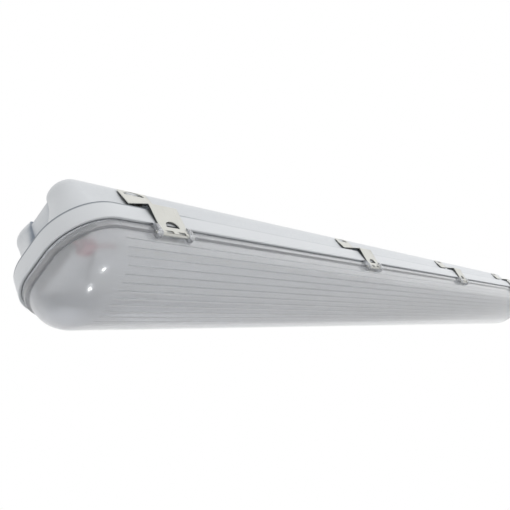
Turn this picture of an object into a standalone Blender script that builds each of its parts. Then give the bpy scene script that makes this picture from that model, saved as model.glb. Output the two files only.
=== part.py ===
"""Vapor tight ceiling light: a moulded body, a clear domed cover and eight spring-steel latches.

Metres, +Z up, X along the fixture. The origin is the middle of the ceiling plane, which the two
mounting brackets touch. Heights named ..._up are counted from the band's lower edge, the rim.
"""
import math

import bmesh
import bpy
from mathutils import Matrix, Vector

# Body: the band round the rim, its ledge, the walls that lean in above it and the channel in the roof
BODY_LENGTH = 1.570
BODY_WIDTH = 0.128
RIM_CORNER = 0.051
BAND_HEIGHT = 0.020
BAND_WALL = 0.0028
BAND_SIDE_DRAFT = 0.0004
BAND_END_DRAFT = 0.0040
LEDGE_FILLET = 0.0015
LEDGE_WALL = 0.0028
BODY_WALL = 0.0025
GROOVE_LIP_UP = 0.004
GROOVE_INNER_END = 0.0120
GROOVE_INNER_SIDE = 0.008
WALL_TOP_UP = 0.059
WALL_TOP_END = 0.0305
WALL_TOP_SIDE = 0.0173
WALL_TOP_CORNER = 0.019
WALL_END_BEND = 1.5
WALL_SIDE_BEND = 3.0
WALL_CORNER_BEND = 2.0
WALL_SPREAD = 1.2
ROOF_UP = 0.070
ROOF_ROUNDING = 0.011
CHANNEL_WIDTH = 0.030
CHANNEL_DEPTH = 0.005
CHANNEL_END_LOW = 0.026
CHANNEL_END_HIGH = 0.038
NOSE_ROUNDING_LOW = 0.0028
NOSE_ROUNDING_HIGH = 0.012
NOSE_ROUNDING_BEND = 2.0
NOSE_REACH_SHARE = 1.3
NOSE_LEAST_REACH = 0.0003
NOSE_ARC_START = math.radians(5)
CLEARANCE = 0.0003

# Gasket in the rim's groove
GASKET_SIDE_PLAY = 0.0004
GASKET_HEIGHT = 0.0047

# Clear cover
COVER_WALL = 0.0020
TONGUE_THICKNESS = 0.0027
TONGUE_PLAY = 0.0009
COVER_GAP = 0.0005
FLANGE_INSET = 0.0028
FLANGE_HEIGHT = 0.0060
FLANGE_FILLET = 0.0008
COVER_NECK_UP = -0.008
COVER_NECK_INSET = 0.0055
COVER_BULGE_DEPTH = 0.041
COVER_DOME_LENGTH = 0.040
COVER_SQUARENESS = 2.2
COVER_BOTTOM_ANGLE = math.radians(80)
COVER_RINGS = 8

# Latches, their pins and the cheeks that carry them
LATCHES_PER_SIDE = 4
LATCH_END_DISTANCE = 0.1135
LATCH_WIDTH = 0.038
LATCH_SHEET = 0.0008
LATCH_PIN_RADIUS = 0.0013
LATCH_PIN_INSET = 0.0010
LATCH_PIN_UP = -0.0105
LATCH_PIN_PROUD = 0.0005
LATCH_KNUCKLE_PLAY = 0.0005
LATCH_LEAF_STANDOFF = 0.0012
LATCH_LEAF_LOW_UP = -0.0050
LATCH_BEND_STANDOFF = 0.0048
LATCH_BEND_RISE = 0.0005
LATCH_LEVER_INSET = 0.0130
LATCH_LEVER_LOW_UP = 0.0388
LATCH_LEVER_TOP_INSET = 0.0158
LATCH_LEVER_TOP_UP = 0.0598
LATCH_SLOT_WIDTH = 0.018
LATCH_SLOT_LOW_UP = -0.0045
LATCH_SLOT_HIGH_UP = 0.0025
LEVER_SLOT_WIDTH = 0.026
LEVER_SLOT_HEIGHT = 0.0030
LEVER_SLOT_DROP = 0.0030
CHEEK_THICKNESS = 0.0050
CHEEK_PLAY = 0.0005
CHEEK_STANDOFF = 0.0028
CHEEK_TOP_UP = -0.0012
CHEEK_LOW_UP = -0.0146
CHEEK_ROUNDING = 0.0030
CHEEK_ROOT_DEPTH = 0.0012
PIN_HOLE_PLAY = 0.0003
CATCH_WIDTH = 0.022
CATCH_OUTER_INSET = 0.0017
CATCH_INNER_INSET = 0.0065
CATCH_GAP = 0.0005

# Gear tray, LED boards, driver, terminals and wires
TRAY_SHEET = 0.0010
TRAY_SIDE_INSET = 0.018
TRAY_END_INSET = 0.040
TRAY_UP = 0.008
TRAY_FLANGE_HEIGHT = 0.014
TRAY_INWARD = 1.0
BOARD_END_DISTANCE = 0.041
BOARD_CENTRE_DISTANCE = 0.012
BOARD_THICKNESS = 0.0015
BOARD_EDGE_DISTANCE = 0.010
BOARD_JOINT = 0.008
BOSS_RADIUS = 0.0045
BOSS_DRIVER_DISTANCE = 0.110
BOSS_END_DISTANCE = 0.105
TRAY_SCREW_RADIUS = 0.0015
TRAY_SCREW_HEAD_RADIUS = 0.0038
TRAY_SCREW_HEAD_HEIGHT = 0.0024
TRAY_SCREW_LENGTH = 0.018
SCREW_PLAY = 0.0003
DRIVER_LENGTH = 0.280
DRIVER_WIDTH = 0.030
DRIVER_HEIGHT = 0.021
DRIVER_ROUNDING = 0.0015
DRIVER_EDGE_DISTANCE = 0.004
DRIVER_EAR_LENGTH = 0.012
DRIVER_EAR_WIDTH = 0.016
DRIVER_EAR_THICKNESS = 0.0020
DRIVER_SCREW_RADIUS = 0.0015
DRIVER_SCREW_HEAD_RADIUS = 0.0030
DRIVER_SCREW_HEAD_HEIGHT = 0.0018
DRIVER_SCREW_LENGTH = 0.0034
EARTH_SCREW_LENGTH = 0.006
TERMINAL_LENGTH = 0.020
TERMINAL_WIDTH = 0.034
TERMINAL_HEIGHT = 0.017
TERMINAL_END_DISTANCE = 0.065
TERMINAL_EDGE_DISTANCE = 0.003
TERMINAL_ENTRY_RADIUS = 0.0022
TERMINAL_ENTRY_DEPTH = 0.008
TERMINAL_POLES = 3
CONNECTOR_LENGTH = 0.014
CONNECTOR_WIDTH = 0.014
CONNECTOR_HEIGHT = 0.009
CONNECTOR_OVERHANG = 0.004
CONNECTOR_ROW_OFFSET = 0.002
CONNECTOR_ROUNDING = 0.0012
CONNECTOR_ENTRY_RADIUS = 0.0016
CONNECTOR_ENTRY_DEPTH = 0.0045
CONNECTOR_ENTRY_SPACING = 0.0060
WIRE_RADIUS = 0.0011
WIRE_FLOAT = 0.0006
WIRE_BEND = 0.010
WIRE_STEPS = 3
DRIVER_WIRE_Y = 0.006
EARTH_TERMINAL_DISTANCE = 0.030
EARTH_Y = 0.008
EARTH_SCREW_HEAD_RADIUS = 0.0040

# Cable gland in the far end
GLAND_PAD_WIDTH = 0.032
GLAND_PAD_HEIGHT_UP = 0.056
GLAND_PAD_FACE_INSET = 0.0090
GLAND_PAD_DEPTH = 0.034
GLAND_PAD_ROUNDING = 0.004
GLAND_THREAD_RADIUS = 0.0098
GLAND_HOLE_PLAY = 0.0004
GLAND_THREAD_LENGTH = 0.012
GLAND_HEX_ACROSS = 0.024
GLAND_HEX_LENGTH = 0.006
GLAND_NECK_RADIUS = 0.0085
GLAND_NECK_LENGTH = 0.005
GLAND_BORE_RADIUS = 0.0060
GLAND_WASHER_RADIUS = 0.0125
GLAND_WASHER_THICKNESS = 0.0015
GLAND_NUT_LENGTH = 0.014
GLAND_NUT_RADIUS = 0.0122
GLAND_NUT_MOUTH_RADIUS = 0.0062
GLAND_NUT_LIP = 0.0030
GLAND_LOCK_NUT_LENGTH = 0.005
GLAND_LOCK_NUT_ACROSS = 0.0225
GLAND_NUT_SHOULDER = 0.0035
GLAND_SEAL_RADIUS = 0.0045
GLAND_PLAY = 0.0004

# Mounting brackets over the channel
BRACKET_SPACING = 1.000
BRACKET_WIDTH = 0.025
BRACKET_SPAN = 0.060
BRACKET_SHEET = 0.0012
BRACKET_CORNER = 0.0030
BRACKET_TAB_PLAY = 0.0016
BRACKET_TAB_WIDTH = 0.014
BRACKET_TAB_DEPTH = 0.0058
BRACKET_BARB_REACH = 0.0011
BRACKET_BARB_HEIGHT = 0.0022
BRACKET_HOLE_RADIUS = 0.0026
BRACKET_HOLE_EDGE = 0.010
LUG_REACH = 0.0011
LUG_HEIGHT = 0.0012
LUG_PLAY = 0.0005

# Roundness
CORNER_STEPS = 8
WALL_STEPS = 5
ROOF_STEPS = 3
NOSE_STEPS = 4
ROUND_STEPS = 12
HEX_SIDES = 6
KNUCKLE_STEPS = 9
KNUCKLE_START = math.radians(35)
KNUCKLE_END = math.radians(-250)
SMOOTH_ANGLE = math.radians(35)
OVERRUN = 0.001
MERGE = 0.00001

HALF_LENGTH = BODY_LENGTH / 2
HALF_WIDTH = BODY_WIDTH / 2
RIM_Z = -(ROOF_UP + CLEARANCE + BRACKET_SHEET)
GROOVE_TOP_UP = BAND_HEIGHT - LEDGE_WALL
CHANNEL_UP = ROOF_UP - CHANNEL_DEPTH
LATCH_SPACING = (BODY_LENGTH - 2 * LATCH_END_DISTANCE) / (LATCHES_PER_SIDE - 1)
SIDES = {"near": -1, "far": 1}

# Places that follow from the sizes above
LATCH_PIN_OUT = HALF_WIDTH - LATCH_PIN_INSET
LATCH_LEAF_OUT = HALF_WIDTH + LATCH_LEAF_STANDOFF
LATCH_BEND_OUT = HALF_WIDTH + LATCH_BEND_STANDOFF
LATCH_LEVER_OUT = HALF_WIDTH - LATCH_LEVER_INSET
LATCH_LEVER_TOP_OUT = HALF_WIDTH - LATCH_LEVER_TOP_INSET
CHEEK_OUT = HALF_WIDTH + CHEEK_STANDOFF
LATCH_BEND_UP = BAND_HEIGHT + LATCH_BEND_RISE
LEVER_SLOT_HIGH_UP = LATCH_LEVER_TOP_UP - LEVER_SLOT_DROP
LEVER_SLOT_LOW_UP = LEVER_SLOT_HIGH_UP - LEVER_SLOT_HEIGHT
CATCH_OUT = HALF_WIDTH - CATCH_OUTER_INSET
CATCH_IN = HALF_WIDTH - CATCH_INNER_INSET
TRAY_WIDTH = BODY_WIDTH - 2 * TRAY_SIDE_INSET
TRAY_HALF_LENGTH = HALF_LENGTH - TRAY_END_INSET
BOARD_LENGTH = TRAY_HALF_LENGTH - BOARD_END_DISTANCE - BOARD_JOINT / 2
BOARD_WIDTH = TRAY_WIDTH / 2 - BOARD_EDGE_DISTANCE - BOARD_CENTRE_DISTANCE
BOARD_ROW_Y = BOARD_CENTRE_DISTANCE + BOARD_WIDTH / 2
BOSS_X = (TRAY_HALF_LENGTH - BOSS_END_DISTANCE, DRIVER_LENGTH / 2 + BOSS_DRIVER_DISTANCE)
DRIVER_Y = TRAY_WIDTH / 2 - DRIVER_EDGE_DISTANCE - DRIVER_WIDTH / 2
TERMINAL_X = TRAY_HALF_LENGTH - TERMINAL_END_DISTANCE
TERMINAL_Y = TERMINAL_EDGE_DISTANCE + TERMINAL_WIDTH / 2 - TRAY_WIDTH / 2
CONNECTOR_Y = CONNECTOR_ROW_OFFSET - BOARD_ROW_Y
EARTH_X = TERMINAL_X - EARTH_TERMINAL_DISTANCE
GLAND_UP = GLAND_PAD_HEIGHT_UP - GLAND_PAD_WIDTH / 2
BRACKET_TAB_OUT = CHANNEL_WIDTH / 2 - BRACKET_TAB_PLAY
BRACKET_HOLE_Y = BRACKET_SPAN / 2 - BRACKET_HOLE_EDGE


def up(height):
    """World height of a point that lies this far above the rim."""
    return RIM_Z + height


def collection(name):
    made = bpy.data.collections.new(name)
    bpy.context.scene.collection.children.link(made)
    return made


def clear_scene():
    for item in list(bpy.data.objects):
        bpy.data.objects.remove(item, do_unlink=True)


clear_scene()
PARTS = collection("vapor_tight_light")
CUTTERS = collection("cutters")


def finish(name, colour, roughness, metallic=0.0, transmission=0.0):
    material = bpy.data.materials.new(name)
    material.use_nodes = True
    shader = material.node_tree.nodes["Principled BSDF"]
    shader.inputs["Base Color"].default_value = (*colour, 1.0)
    shader.inputs["Roughness"].default_value = roughness
    shader.inputs["Metallic"].default_value = metallic
    shader.inputs["Transmission Weight"].default_value = transmission
    return material


def add(name, data, material=None, group=None):
    item = bpy.data.objects.new(name, data)
    (group or PARTS).objects.link(item)
    if material:
        data.materials.clear()
        data.materials.append(material)
        smooth(data)
    return item


def smooth(data):
    """Smooth shading that keeps hard edges, for meshes."""
    if isinstance(data, bpy.types.Mesh):
        data.shade_smooth()
        data.set_sharp_from_angle(angle=SMOOTH_ANGLE)


def cutter(name, mesh):
    item = add(name, mesh, group=CUTTERS)
    item.hide_render = True
    item.display_type = "WIRE"
    return item


def mesh_from(bm, name):
    bmesh.ops.remove_doubles(bm, verts=bm.verts, dist=MERGE)
    bmesh.ops.recalc_face_normals(bm, faces=bm.faces)
    mesh = bpy.data.meshes.new(name)
    bm.to_mesh(mesh)
    bm.free()
    return mesh


def boolean(item, tool, operation):
    step = item.modifiers.new(tool.name, "BOOLEAN")
    step.operation = operation
    step.object = tool
    return step


def outline(half_length, half_width, corner, z, centre_y=0.0, steps=CORNER_STEPS):
    """A rounded rectangle seen from above, anticlockwise."""
    corner = min(corner, half_width)
    points = []
    for quarter, (side_x, side_y) in enumerate(((1, -1), (1, 1), (-1, 1), (-1, -1))):
        middle_x = side_x * (half_length - corner)
        middle_y = side_y * (half_width - corner) + centre_y
        for step in range(steps + 1):
            angle = (quarter - 1 + step / steps) * math.pi / 2
            points.append((middle_x + corner * math.cos(angle), middle_y + corner * math.sin(angle), z))
    return points


def rim_ring(end_inset, side_inset, height):
    """The rim's outline drawn in by these insets, at a height above the rim."""
    half_length = HALF_LENGTH - end_inset
    half_width = HALF_WIDTH - side_inset
    return outline(half_length, half_width, RIM_CORNER - side_inset, up(height))


def loft(name, rings, closed=False):
    """Skin over rings of equal point counts, capped at both ends unless it closes on itself."""
    bm = bmesh.new()
    rows = [[bm.verts.new(point) for point in ring] for ring in rings]
    count = len(rows[0])
    following = rows[1:] + rows[:1] if closed else rows[1:]
    for lower, upper in zip(rows, following):
        for index in range(count):
            after = (index + 1) % count
            bm.faces.new((lower[index], lower[after], upper[after], upper[index]))
    if not closed:
        bm.faces.new(rows[0])
        bm.faces.new(rows[-1])
    return mesh_from(bm, name)


def block_mesh(name, low, high, rounding=0.0, along=None, segments=3):
    """A box between two corners; rounding bevels all edges, or only those that run along one axis."""
    bm = bmesh.new()
    size = Vector(high) - Vector(low)
    middle = (Vector(high) + Vector(low)) / 2
    bmesh.ops.create_cube(bm, size=1.0, matrix=Matrix.Translation(middle) @ Matrix.Diagonal((*size, 1.0)))
    if rounding:
        edges = bm.edges[:]
        if along is not None:
            edges = [e for e in edges if abs((e.verts[0].co - e.verts[1].co)[along]) > MERGE]
        bmesh.ops.bevel(bm, geom=edges, offset=rounding, segments=segments, affect="EDGES", profile=0.5)
    return mesh_from(bm, name)


def prism_mesh(name, points, low, high):
    """A flat outline of (y, z) points drawn out along X."""
    curve = bpy.data.curves.new(name, "CURVE")
    curve.dimensions = "2D"
    curve.fill_mode = "BOTH"
    curve.extrude = (high - low) / 2
    spline = curve.splines.new("POLY")
    spline.points.add(len(points) - 1)
    for point, (y, z) in zip(spline.points, points):
        point.co = (y, z, 0.0, 1.0)
    spline.use_cyclic_u = True
    flat = add(name, curve)
    along_x = Matrix(((0, 0, 1, (low + high) / 2), (1, 0, 0, 0), (0, 1, 0, 0), (0, 0, 0, 1)))
    return welded_mesh(flat, name, along_x)


def welded_mesh(item, name, place):
    """The mesh that an object with modifiers or a curve evaluates to; the object itself is removed."""
    bpy.context.view_layer.update()
    raw = bpy.data.meshes.new_from_object(item.evaluated_get(bpy.context.evaluated_depsgraph_get()))
    bpy.data.objects.remove(item, do_unlink=True)
    raw.transform(place)
    bm = bmesh.new()
    bm.from_mesh(raw)
    bpy.data.meshes.remove(raw)
    return mesh_from(bm, name)


def strip_mesh(name, line, x_low, x_high):
    """An open strip that follows a line of (y, z) points, as wide as the stretch of X."""
    bm = bmesh.new()
    corners = [bm.verts.new((x_low, y, z)) for y, z in line]
    edges = [bm.edges.new(pair) for pair in zip(corners, corners[1:])]
    swept = bmesh.ops.extrude_edge_only(bm, edges=edges)["geom"]
    moved = [part for part in swept if isinstance(part, bmesh.types.BMVert)]
    bmesh.ops.translate(bm, verts=moved, vec=(x_high - x_low, 0.0, 0.0))
    mesh = bpy.data.meshes.new(name)
    bm.to_mesh(mesh)
    bm.free()
    return mesh


def thicken(item, thickness, offset=0.0):
    sheet = item.modifiers.new("sheet", "SOLIDIFY")
    sheet.thickness = thickness
    sheet.offset = offset
    sheet.use_even_offset = True


def rod_mesh(name, radius, start, end, sides=ROUND_STEPS):
    """A cylinder from one point to another; with six sides, radius is to a corner."""
    bm = bmesh.new()
    axis = Vector(end) - Vector(start)
    turn = axis.to_track_quat("Z", "Y").to_matrix().to_4x4()
    place = Matrix.Translation((Vector(start) + Vector(end)) / 2) @ turn
    bmesh.ops.create_cone(bm, cap_ends=True, segments=sides, radius1=radius, radius2=radius,
                          depth=axis.length, matrix=place)
    return mesh_from(bm, name)


def joined_mesh(name, meshes):
    bm = bmesh.new()
    for mesh in meshes:
        bm.from_mesh(mesh)
        bpy.data.meshes.remove(mesh)
    mesh = bpy.data.meshes.new(name)
    bm.to_mesh(mesh)
    bm.free()
    return mesh


def turned(name, profile, material, x):
    """A ring turned about a line along X at the gland: profile holds (radius, distance along X)."""
    bm = bmesh.new()
    corners = [bm.verts.new((radius, 0.0, distance)) for radius, distance in profile]
    for index, corner in enumerate(corners):
        bm.edges.new((corner, corners[(index + 1) % len(corners)]))
    mesh = bpy.data.meshes.new(name)
    bm.to_mesh(mesh)
    bm.free()
    item = add(name, mesh, material)
    screw = item.modifiers.new("turn", "SCREW")
    screw.steps = 2 * ROUND_STEPS
    screw.render_steps = screw.steps
    screw.use_merge_vertices = True
    screw.merge_threshold = MERGE
    item.location = (x, 0.0, up(GLAND_UP))
    item.rotation_euler = (0.0, math.radians(90), 0.0)
    return item


# Finishes
GREY_POLYCARBONATE = finish("grey_polycarbonate", (0.66, 0.69, 0.72), 0.38)
CLEAR_POLYCARBONATE = finish("clear_polycarbonate", (0.86, 0.88, 0.90), 0.22, transmission=0.6)
STAINLESS_STEEL = finish("stainless_steel", (0.63, 0.63, 0.60), 0.28, metallic=1.0)
WHITE_STEEL = finish("white_painted_steel", (0.84, 0.84, 0.83), 0.45)
FOAM = finish("foam_gasket", (0.52, 0.53, 0.54), 0.90)
WHITE_BOARD = finish("white_circuit_board", (0.85, 0.85, 0.82), 0.50)
DRIVER_SHELL = finish("driver_shell", (0.80, 0.80, 0.80), 0.55)
RED_PLASTIC = finish("red_plastic", (0.55, 0.03, 0.05), 0.35)
WHITE_PLASTIC = finish("white_plastic", (0.78, 0.78, 0.76), 0.40)
GREY_NYLON = finish("grey_nylon", (0.45, 0.47, 0.49), 0.50)
BLACK_RUBBER = finish("black_rubber", (0.03, 0.03, 0.03), 0.80)
ZINC_STEEL = finish("zinc_plated_steel", (0.58, 0.60, 0.62), 0.35, metallic=1.0)
WIRE_FINISHES = {
    "brown": finish("brown_insulation", (0.18, 0.07, 0.03), 0.45),
    "blue": finish("blue_insulation", (0.03, 0.12, 0.45), 0.45),
    "green": finish("green_insulation", (0.10, 0.35, 0.06), 0.45),
    "red": finish("red_insulation", (0.50, 0.02, 0.02), 0.45),
    "black": finish("black_insulation", (0.02, 0.02, 0.02), 0.45),
}


def latch_positions():
    """Name, side and X of the middle of each latch."""
    for side_name, side in SIDES.items():
        for index in range(LATCHES_PER_SIDE):
            x = -HALF_LENGTH + LATCH_END_DISTANCE + index * LATCH_SPACING
            yield f"{side_name}_{index + 1}", side, x


def boss_positions():
    return [side * distance for distance in BOSS_X for side in (-1, 1)]


def between(low, high, share):
    return low + (high - low) * share


def wall_insets(height):
    """End inset, side inset and plan corner of the wall's outer face, which leans in above the ledge."""
    left = 1 - (height - BAND_HEIGHT) / (WALL_TOP_UP - BAND_HEIGHT)
    end_share = 1 - left ** WALL_END_BEND
    side_share = 1 - left ** WALL_SIDE_BEND
    corner_share = 1 - left ** WALL_CORNER_BEND
    return (between(GROOVE_INNER_END, WALL_TOP_END, end_share),
            between(GROOVE_INNER_SIDE, WALL_TOP_SIDE, side_share),
            between(RIM_CORNER - GROOVE_INNER_SIDE, WALL_TOP_CORNER, corner_share))


def wall_ring(height, inward, rise=0.0):
    """The wall's outline at a height, drawn in and raised by these amounts."""
    end, side, corner = wall_insets(height)
    return outline(HALF_LENGTH - end - inward, HALF_WIDTH - side - inward, corner - inward, up(height + rise))


def wall_heights():
    return [between(BAND_HEIGHT, WALL_TOP_UP, step / WALL_STEPS) for step in range(WALL_STEPS + 1)]


def roof_rings(rounding, inward):
    """The rounded edge between the walls and the roof, without the ring that the wall ends with."""
    rings = []
    for step in range(1, ROOF_STEPS + 1):
        angle = step / ROOF_STEPS * math.pi / 2
        rings.append(wall_ring(WALL_TOP_UP, inward + rounding * (1 - math.cos(angle)), rounding * math.sin(angle)))
    return rings


# Moulded body. Its skin runs from the inside of the roof, round the gasket groove and the band, to the roof
def body_shell_mesh():
    inner = BODY_WALL * WALL_SPREAD
    fillet_in = LEDGE_FILLET * (1 - math.sqrt(0.5))
    rings = list(reversed(roof_rings(ROOF_ROUNDING - BODY_WALL, inner)))
    rings += [wall_ring(height, inner) for height in reversed(wall_heights())]
    rings += [
        rim_ring(GROOVE_INNER_END + BODY_WALL, GROOVE_INNER_SIDE + BODY_WALL, GROOVE_LIP_UP),
        rim_ring(GROOVE_INNER_END, GROOVE_INNER_SIDE, GROOVE_LIP_UP),
        rim_ring(GROOVE_INNER_END, GROOVE_INNER_SIDE, GROOVE_TOP_UP),
        rim_ring(BAND_END_DRAFT + BAND_WALL, BAND_SIDE_DRAFT + BAND_WALL, GROOVE_TOP_UP),
        rim_ring(BAND_WALL, BAND_WALL, 0.0),
        rim_ring(0.0, 0.0, 0.0),
        rim_ring(BAND_END_DRAFT, BAND_SIDE_DRAFT, BAND_HEIGHT - LEDGE_FILLET),
        rim_ring(BAND_END_DRAFT + fillet_in, BAND_SIDE_DRAFT + fillet_in, BAND_HEIGHT - fillet_in),
        rim_ring(BAND_END_DRAFT + LEDGE_FILLET, BAND_SIDE_DRAFT + LEDGE_FILLET, BAND_HEIGHT),
    ]
    rings += [wall_ring(height, 0.0) for height in wall_heights()]
    rings += roof_rings(ROOF_ROUNDING, 0.0)
    return loft("housing", rings)


def nose_stations():
    """Heights up one end of the body, each with the inset of the noses' tips there."""
    stations = [(height, wall_insets(height)[0]) for height in wall_heights()]
    for step in range(1, ROOF_STEPS + 1):
        angle = step / ROOF_STEPS * math.pi / 2
        stations.append((WALL_TOP_UP + ROOF_ROUNDING * math.sin(angle),
                         WALL_TOP_END + ROOF_ROUNDING * (1 - math.cos(angle))))
    return stations


def recess_line(height, tip_inset, inward):
    """Plan line (x, y) from the set-back wall to a nose's tip, moved into the body by an amount."""
    share = (height - BAND_HEIGHT) / (CHANNEL_UP - BAND_HEIGHT)
    wall = HALF_LENGTH - between(CHANNEL_END_LOW, CHANNEL_END_HIGH, share)
    rise = min(1.0, (height - BAND_HEIGHT) / (WALL_TOP_UP - BAND_HEIGHT)) ** NOSE_ROUNDING_BEND
    rounding = between(NOSE_ROUNDING_LOW, NOSE_ROUNDING_HIGH, rise)
    tip = HALF_LENGTH - tip_inset
    reach = max(NOSE_LEAST_REACH, min(rounding, NOSE_REACH_SHARE * (tip - wall)))
    centre_x = tip - reach
    centre_y = CHANNEL_WIDTH / 2 + rounding
    reach = max(NOSE_LEAST_REACH, reach - inward)
    breadth = rounding - inward
    wall = min(wall - inward, centre_x + reach * math.cos(2 * NOSE_ARC_START))
    first = math.acos(max(0.0, (wall - centre_x) / reach))
    line = [(wall, centre_y - breadth * math.sin(first))]
    for step in range(NOSE_STEPS + 1):
        angle = between(first, NOSE_ARC_START, step / NOSE_STEPS)
        line.append((centre_x + reach * math.cos(angle), centre_y - breadth * math.sin(angle)))
    return line


def recess_mesh(name, end, inward, outer_inset, low, high):
    """The space between the noses at one end, or with inward set the material that lines it."""
    rings = []
    stations = nose_stations()
    for index, (height, tip_inset) in enumerate(stations):
        line = recess_line(height, tip_inset, inward)
        level = low if index == 0 else high if index == len(stations) - 1 else height
        half = [*line, (HALF_LENGTH - tip_inset - outer_inset, line[-1][1])]
        ring = half + [(x, -y) for x, y in reversed(half)]
        rings.append([(end * x, y, up(level)) for x, y in ring])
    return loft(name, rings)


def channel_meshes(inward):
    """The channel along the roof and the two end recesses; with inward set, what lines them."""
    if inward:
        low, high = CHANNEL_UP - BODY_WALL, ROOF_UP - BODY_WALL / 2
        half_width = CHANNEL_WIDTH / 2 + BODY_WALL
        foot, crown, outer_inset = GROOVE_TOP_UP, high, BODY_WALL / 2
    else:
        low, high = CHANNEL_UP, ROOF_UP + OVERRUN
        half_width = CHANNEL_WIDTH / 2
        foot, crown, outer_inset = BAND_HEIGHT, high, -OVERRUN
    half_length = HALF_LENGTH - CHANNEL_END_HIGH + (-OVERRUN if inward else OVERRUN)
    trough = block_mesh("trough", (-half_length, -half_width, up(low)), (half_length, half_width, up(high)))
    return [trough] + [recess_mesh("recess", end, inward, outer_inset, foot, crown) for end in (-1, 1)]


def catch_mesh(name, side, x):
    """The wedge on the ledge that the latch's sloping leaf bears on."""
    slope_run = LATCH_BEND_OUT - LATCH_LEVER_OUT
    slope_rise = LATCH_LEVER_LOW_UP - LATCH_BEND_UP
    slope = slope_rise / slope_run
    drop = (LATCH_SHEET / 2 + CATCH_GAP) * math.hypot(slope_run, slope_rise) / slope_run

    def face_up(out):
        return LATCH_BEND_UP + slope * (LATCH_BEND_OUT - out) - drop

    def root(height):
        return HALF_WIDTH - wall_insets(height)[1] - BODY_WALL / 2

    profile = [
        (root(BAND_HEIGHT), BAND_HEIGHT - LEDGE_WALL / 2),
        (CATCH_OUT, BAND_HEIGHT - LEDGE_WALL / 2),
        (CATCH_OUT, face_up(CATCH_OUT)),
        (CATCH_IN, face_up(CATCH_IN)),
        (root(face_up(CATCH_IN)), face_up(CATCH_IN)),
    ]
    points = [(side * out, up(height)) for out, height in profile]
    return prism_mesh(name, points, x - CATCH_WIDTH / 2, x + CATCH_WIDTH / 2)


def lug_mesh(name, side, x):
    """The rib inside the channel that a bracket's tab snaps under."""
    wall = CHANNEL_WIDTH / 2
    low = ROOF_UP + CLEARANCE + BRACKET_SHEET - BRACKET_TAB_DEPTH + BRACKET_BARB_HEIGHT + LUG_PLAY
    edges = sorted((side * (wall - LUG_REACH), side * (wall + BODY_WALL / 2)))
    return block_mesh(name, (x - BRACKET_WIDTH / 2, edges[0], up(low)),
                      (x + BRACKET_WIDTH / 2, edges[1], up(low + LUG_HEIGHT)))


def make_body():
    body = add("housing", body_shell_mesh(), GREY_POLYCARBONATE)
    for name, inward, operation in (("channel_liner", BODY_WALL, "UNION"), ("channel_space", 0.0, "DIFFERENCE")):
        for index, mesh in enumerate(channel_meshes(inward)):
            boolean(body, cutter(f"{name}_{index}", mesh), operation)

    half_pad = GLAND_PAD_WIDTH / 2
    pad_face = HALF_LENGTH - GLAND_PAD_FACE_INSET
    pad_foot = up(BAND_HEIGHT - LEDGE_WALL / 2)
    pad = block_mesh("gland_pad_form", (pad_face - GLAND_PAD_DEPTH, -half_pad, pad_foot),
                     (pad_face, half_pad, up(GLAND_PAD_HEIGHT_UP)), GLAND_PAD_ROUNDING, along=0)
    boolean(body, cutter("gland_pad_form", pad), "UNION")

    hollow = block_mesh(
        "gland_hollow",
        (pad_face - GLAND_PAD_DEPTH + BODY_WALL, -half_pad + BODY_WALL, up(BAND_HEIGHT)),
        (pad_face - BODY_WALL, half_pad - BODY_WALL, up(GLAND_PAD_HEIGHT_UP - BODY_WALL)),
        GLAND_PAD_ROUNDING - BODY_WALL, along=0)
    boolean(body, cutter("gland_hollow", hollow), "DIFFERENCE")
    bore = rod_mesh("gland_bore", GLAND_THREAD_RADIUS + GLAND_HOLE_PLAY,
                    (pad_face - GLAND_PAD_DEPTH + BODY_WALL + OVERRUN, 0.0, up(GLAND_UP)),
                    (pad_face + OVERRUN, 0.0, up(GLAND_UP)), 2 * ROUND_STEPS)
    boolean(body, cutter("gland_bore", bore), "DIFFERENCE")

    forms = [catch_mesh("catch_form", side, x) for _, side, x in latch_positions()]
    for end in (-1, 1):
        forms += [lug_mesh("lug_form", side, end * BRACKET_SPACING / 2) for side in SIDES.values()]
    boss_low = up(TRAY_UP + TRAY_SHEET + CLEARANCE)
    boss_high = up(CHANNEL_UP - BODY_WALL / 2)
    forms += [rod_mesh("boss_form", BOSS_RADIUS, (x, 0.0, boss_low), (x, 0.0, boss_high))
              for x in boss_positions()]
    boolean(body, cutter("rib_forms", joined_mesh("rib_forms", forms)), "UNION")
    pilot_top = boss_low + TRAY_SCREW_LENGTH
    pilot_low = boss_low - OVERRUN
    pilots = [rod_mesh("pilot", TRAY_SCREW_RADIUS + SCREW_PLAY, (x, 0.0, pilot_low), (x, 0.0, pilot_top))
              for x in boss_positions()]
    boolean(body, cutter("pilots", joined_mesh("pilots", pilots)), "DIFFERENCE")
    return body


# Foam gasket lying in the top of the groove
def make_gasket():
    outer_end = BAND_END_DRAFT + BAND_WALL + GASKET_SIDE_PLAY
    outer_side = BAND_SIDE_DRAFT + BAND_WALL + GASKET_SIDE_PLAY
    inner_end = GROOVE_INNER_END - GASKET_SIDE_PLAY
    inner_side = GROOVE_INNER_SIDE - GASKET_SIDE_PLAY
    top = GROOVE_TOP_UP - CLEARANCE
    low = top - GASKET_HEIGHT
    rings = [rim_ring(outer_end, outer_side, low), rim_ring(outer_end, outer_side, top),
             rim_ring(inner_end, inner_side, top), rim_ring(inner_end, inner_side, low)]
    return add("gasket", loft("gasket", rings, closed=True), FOAM)


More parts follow.
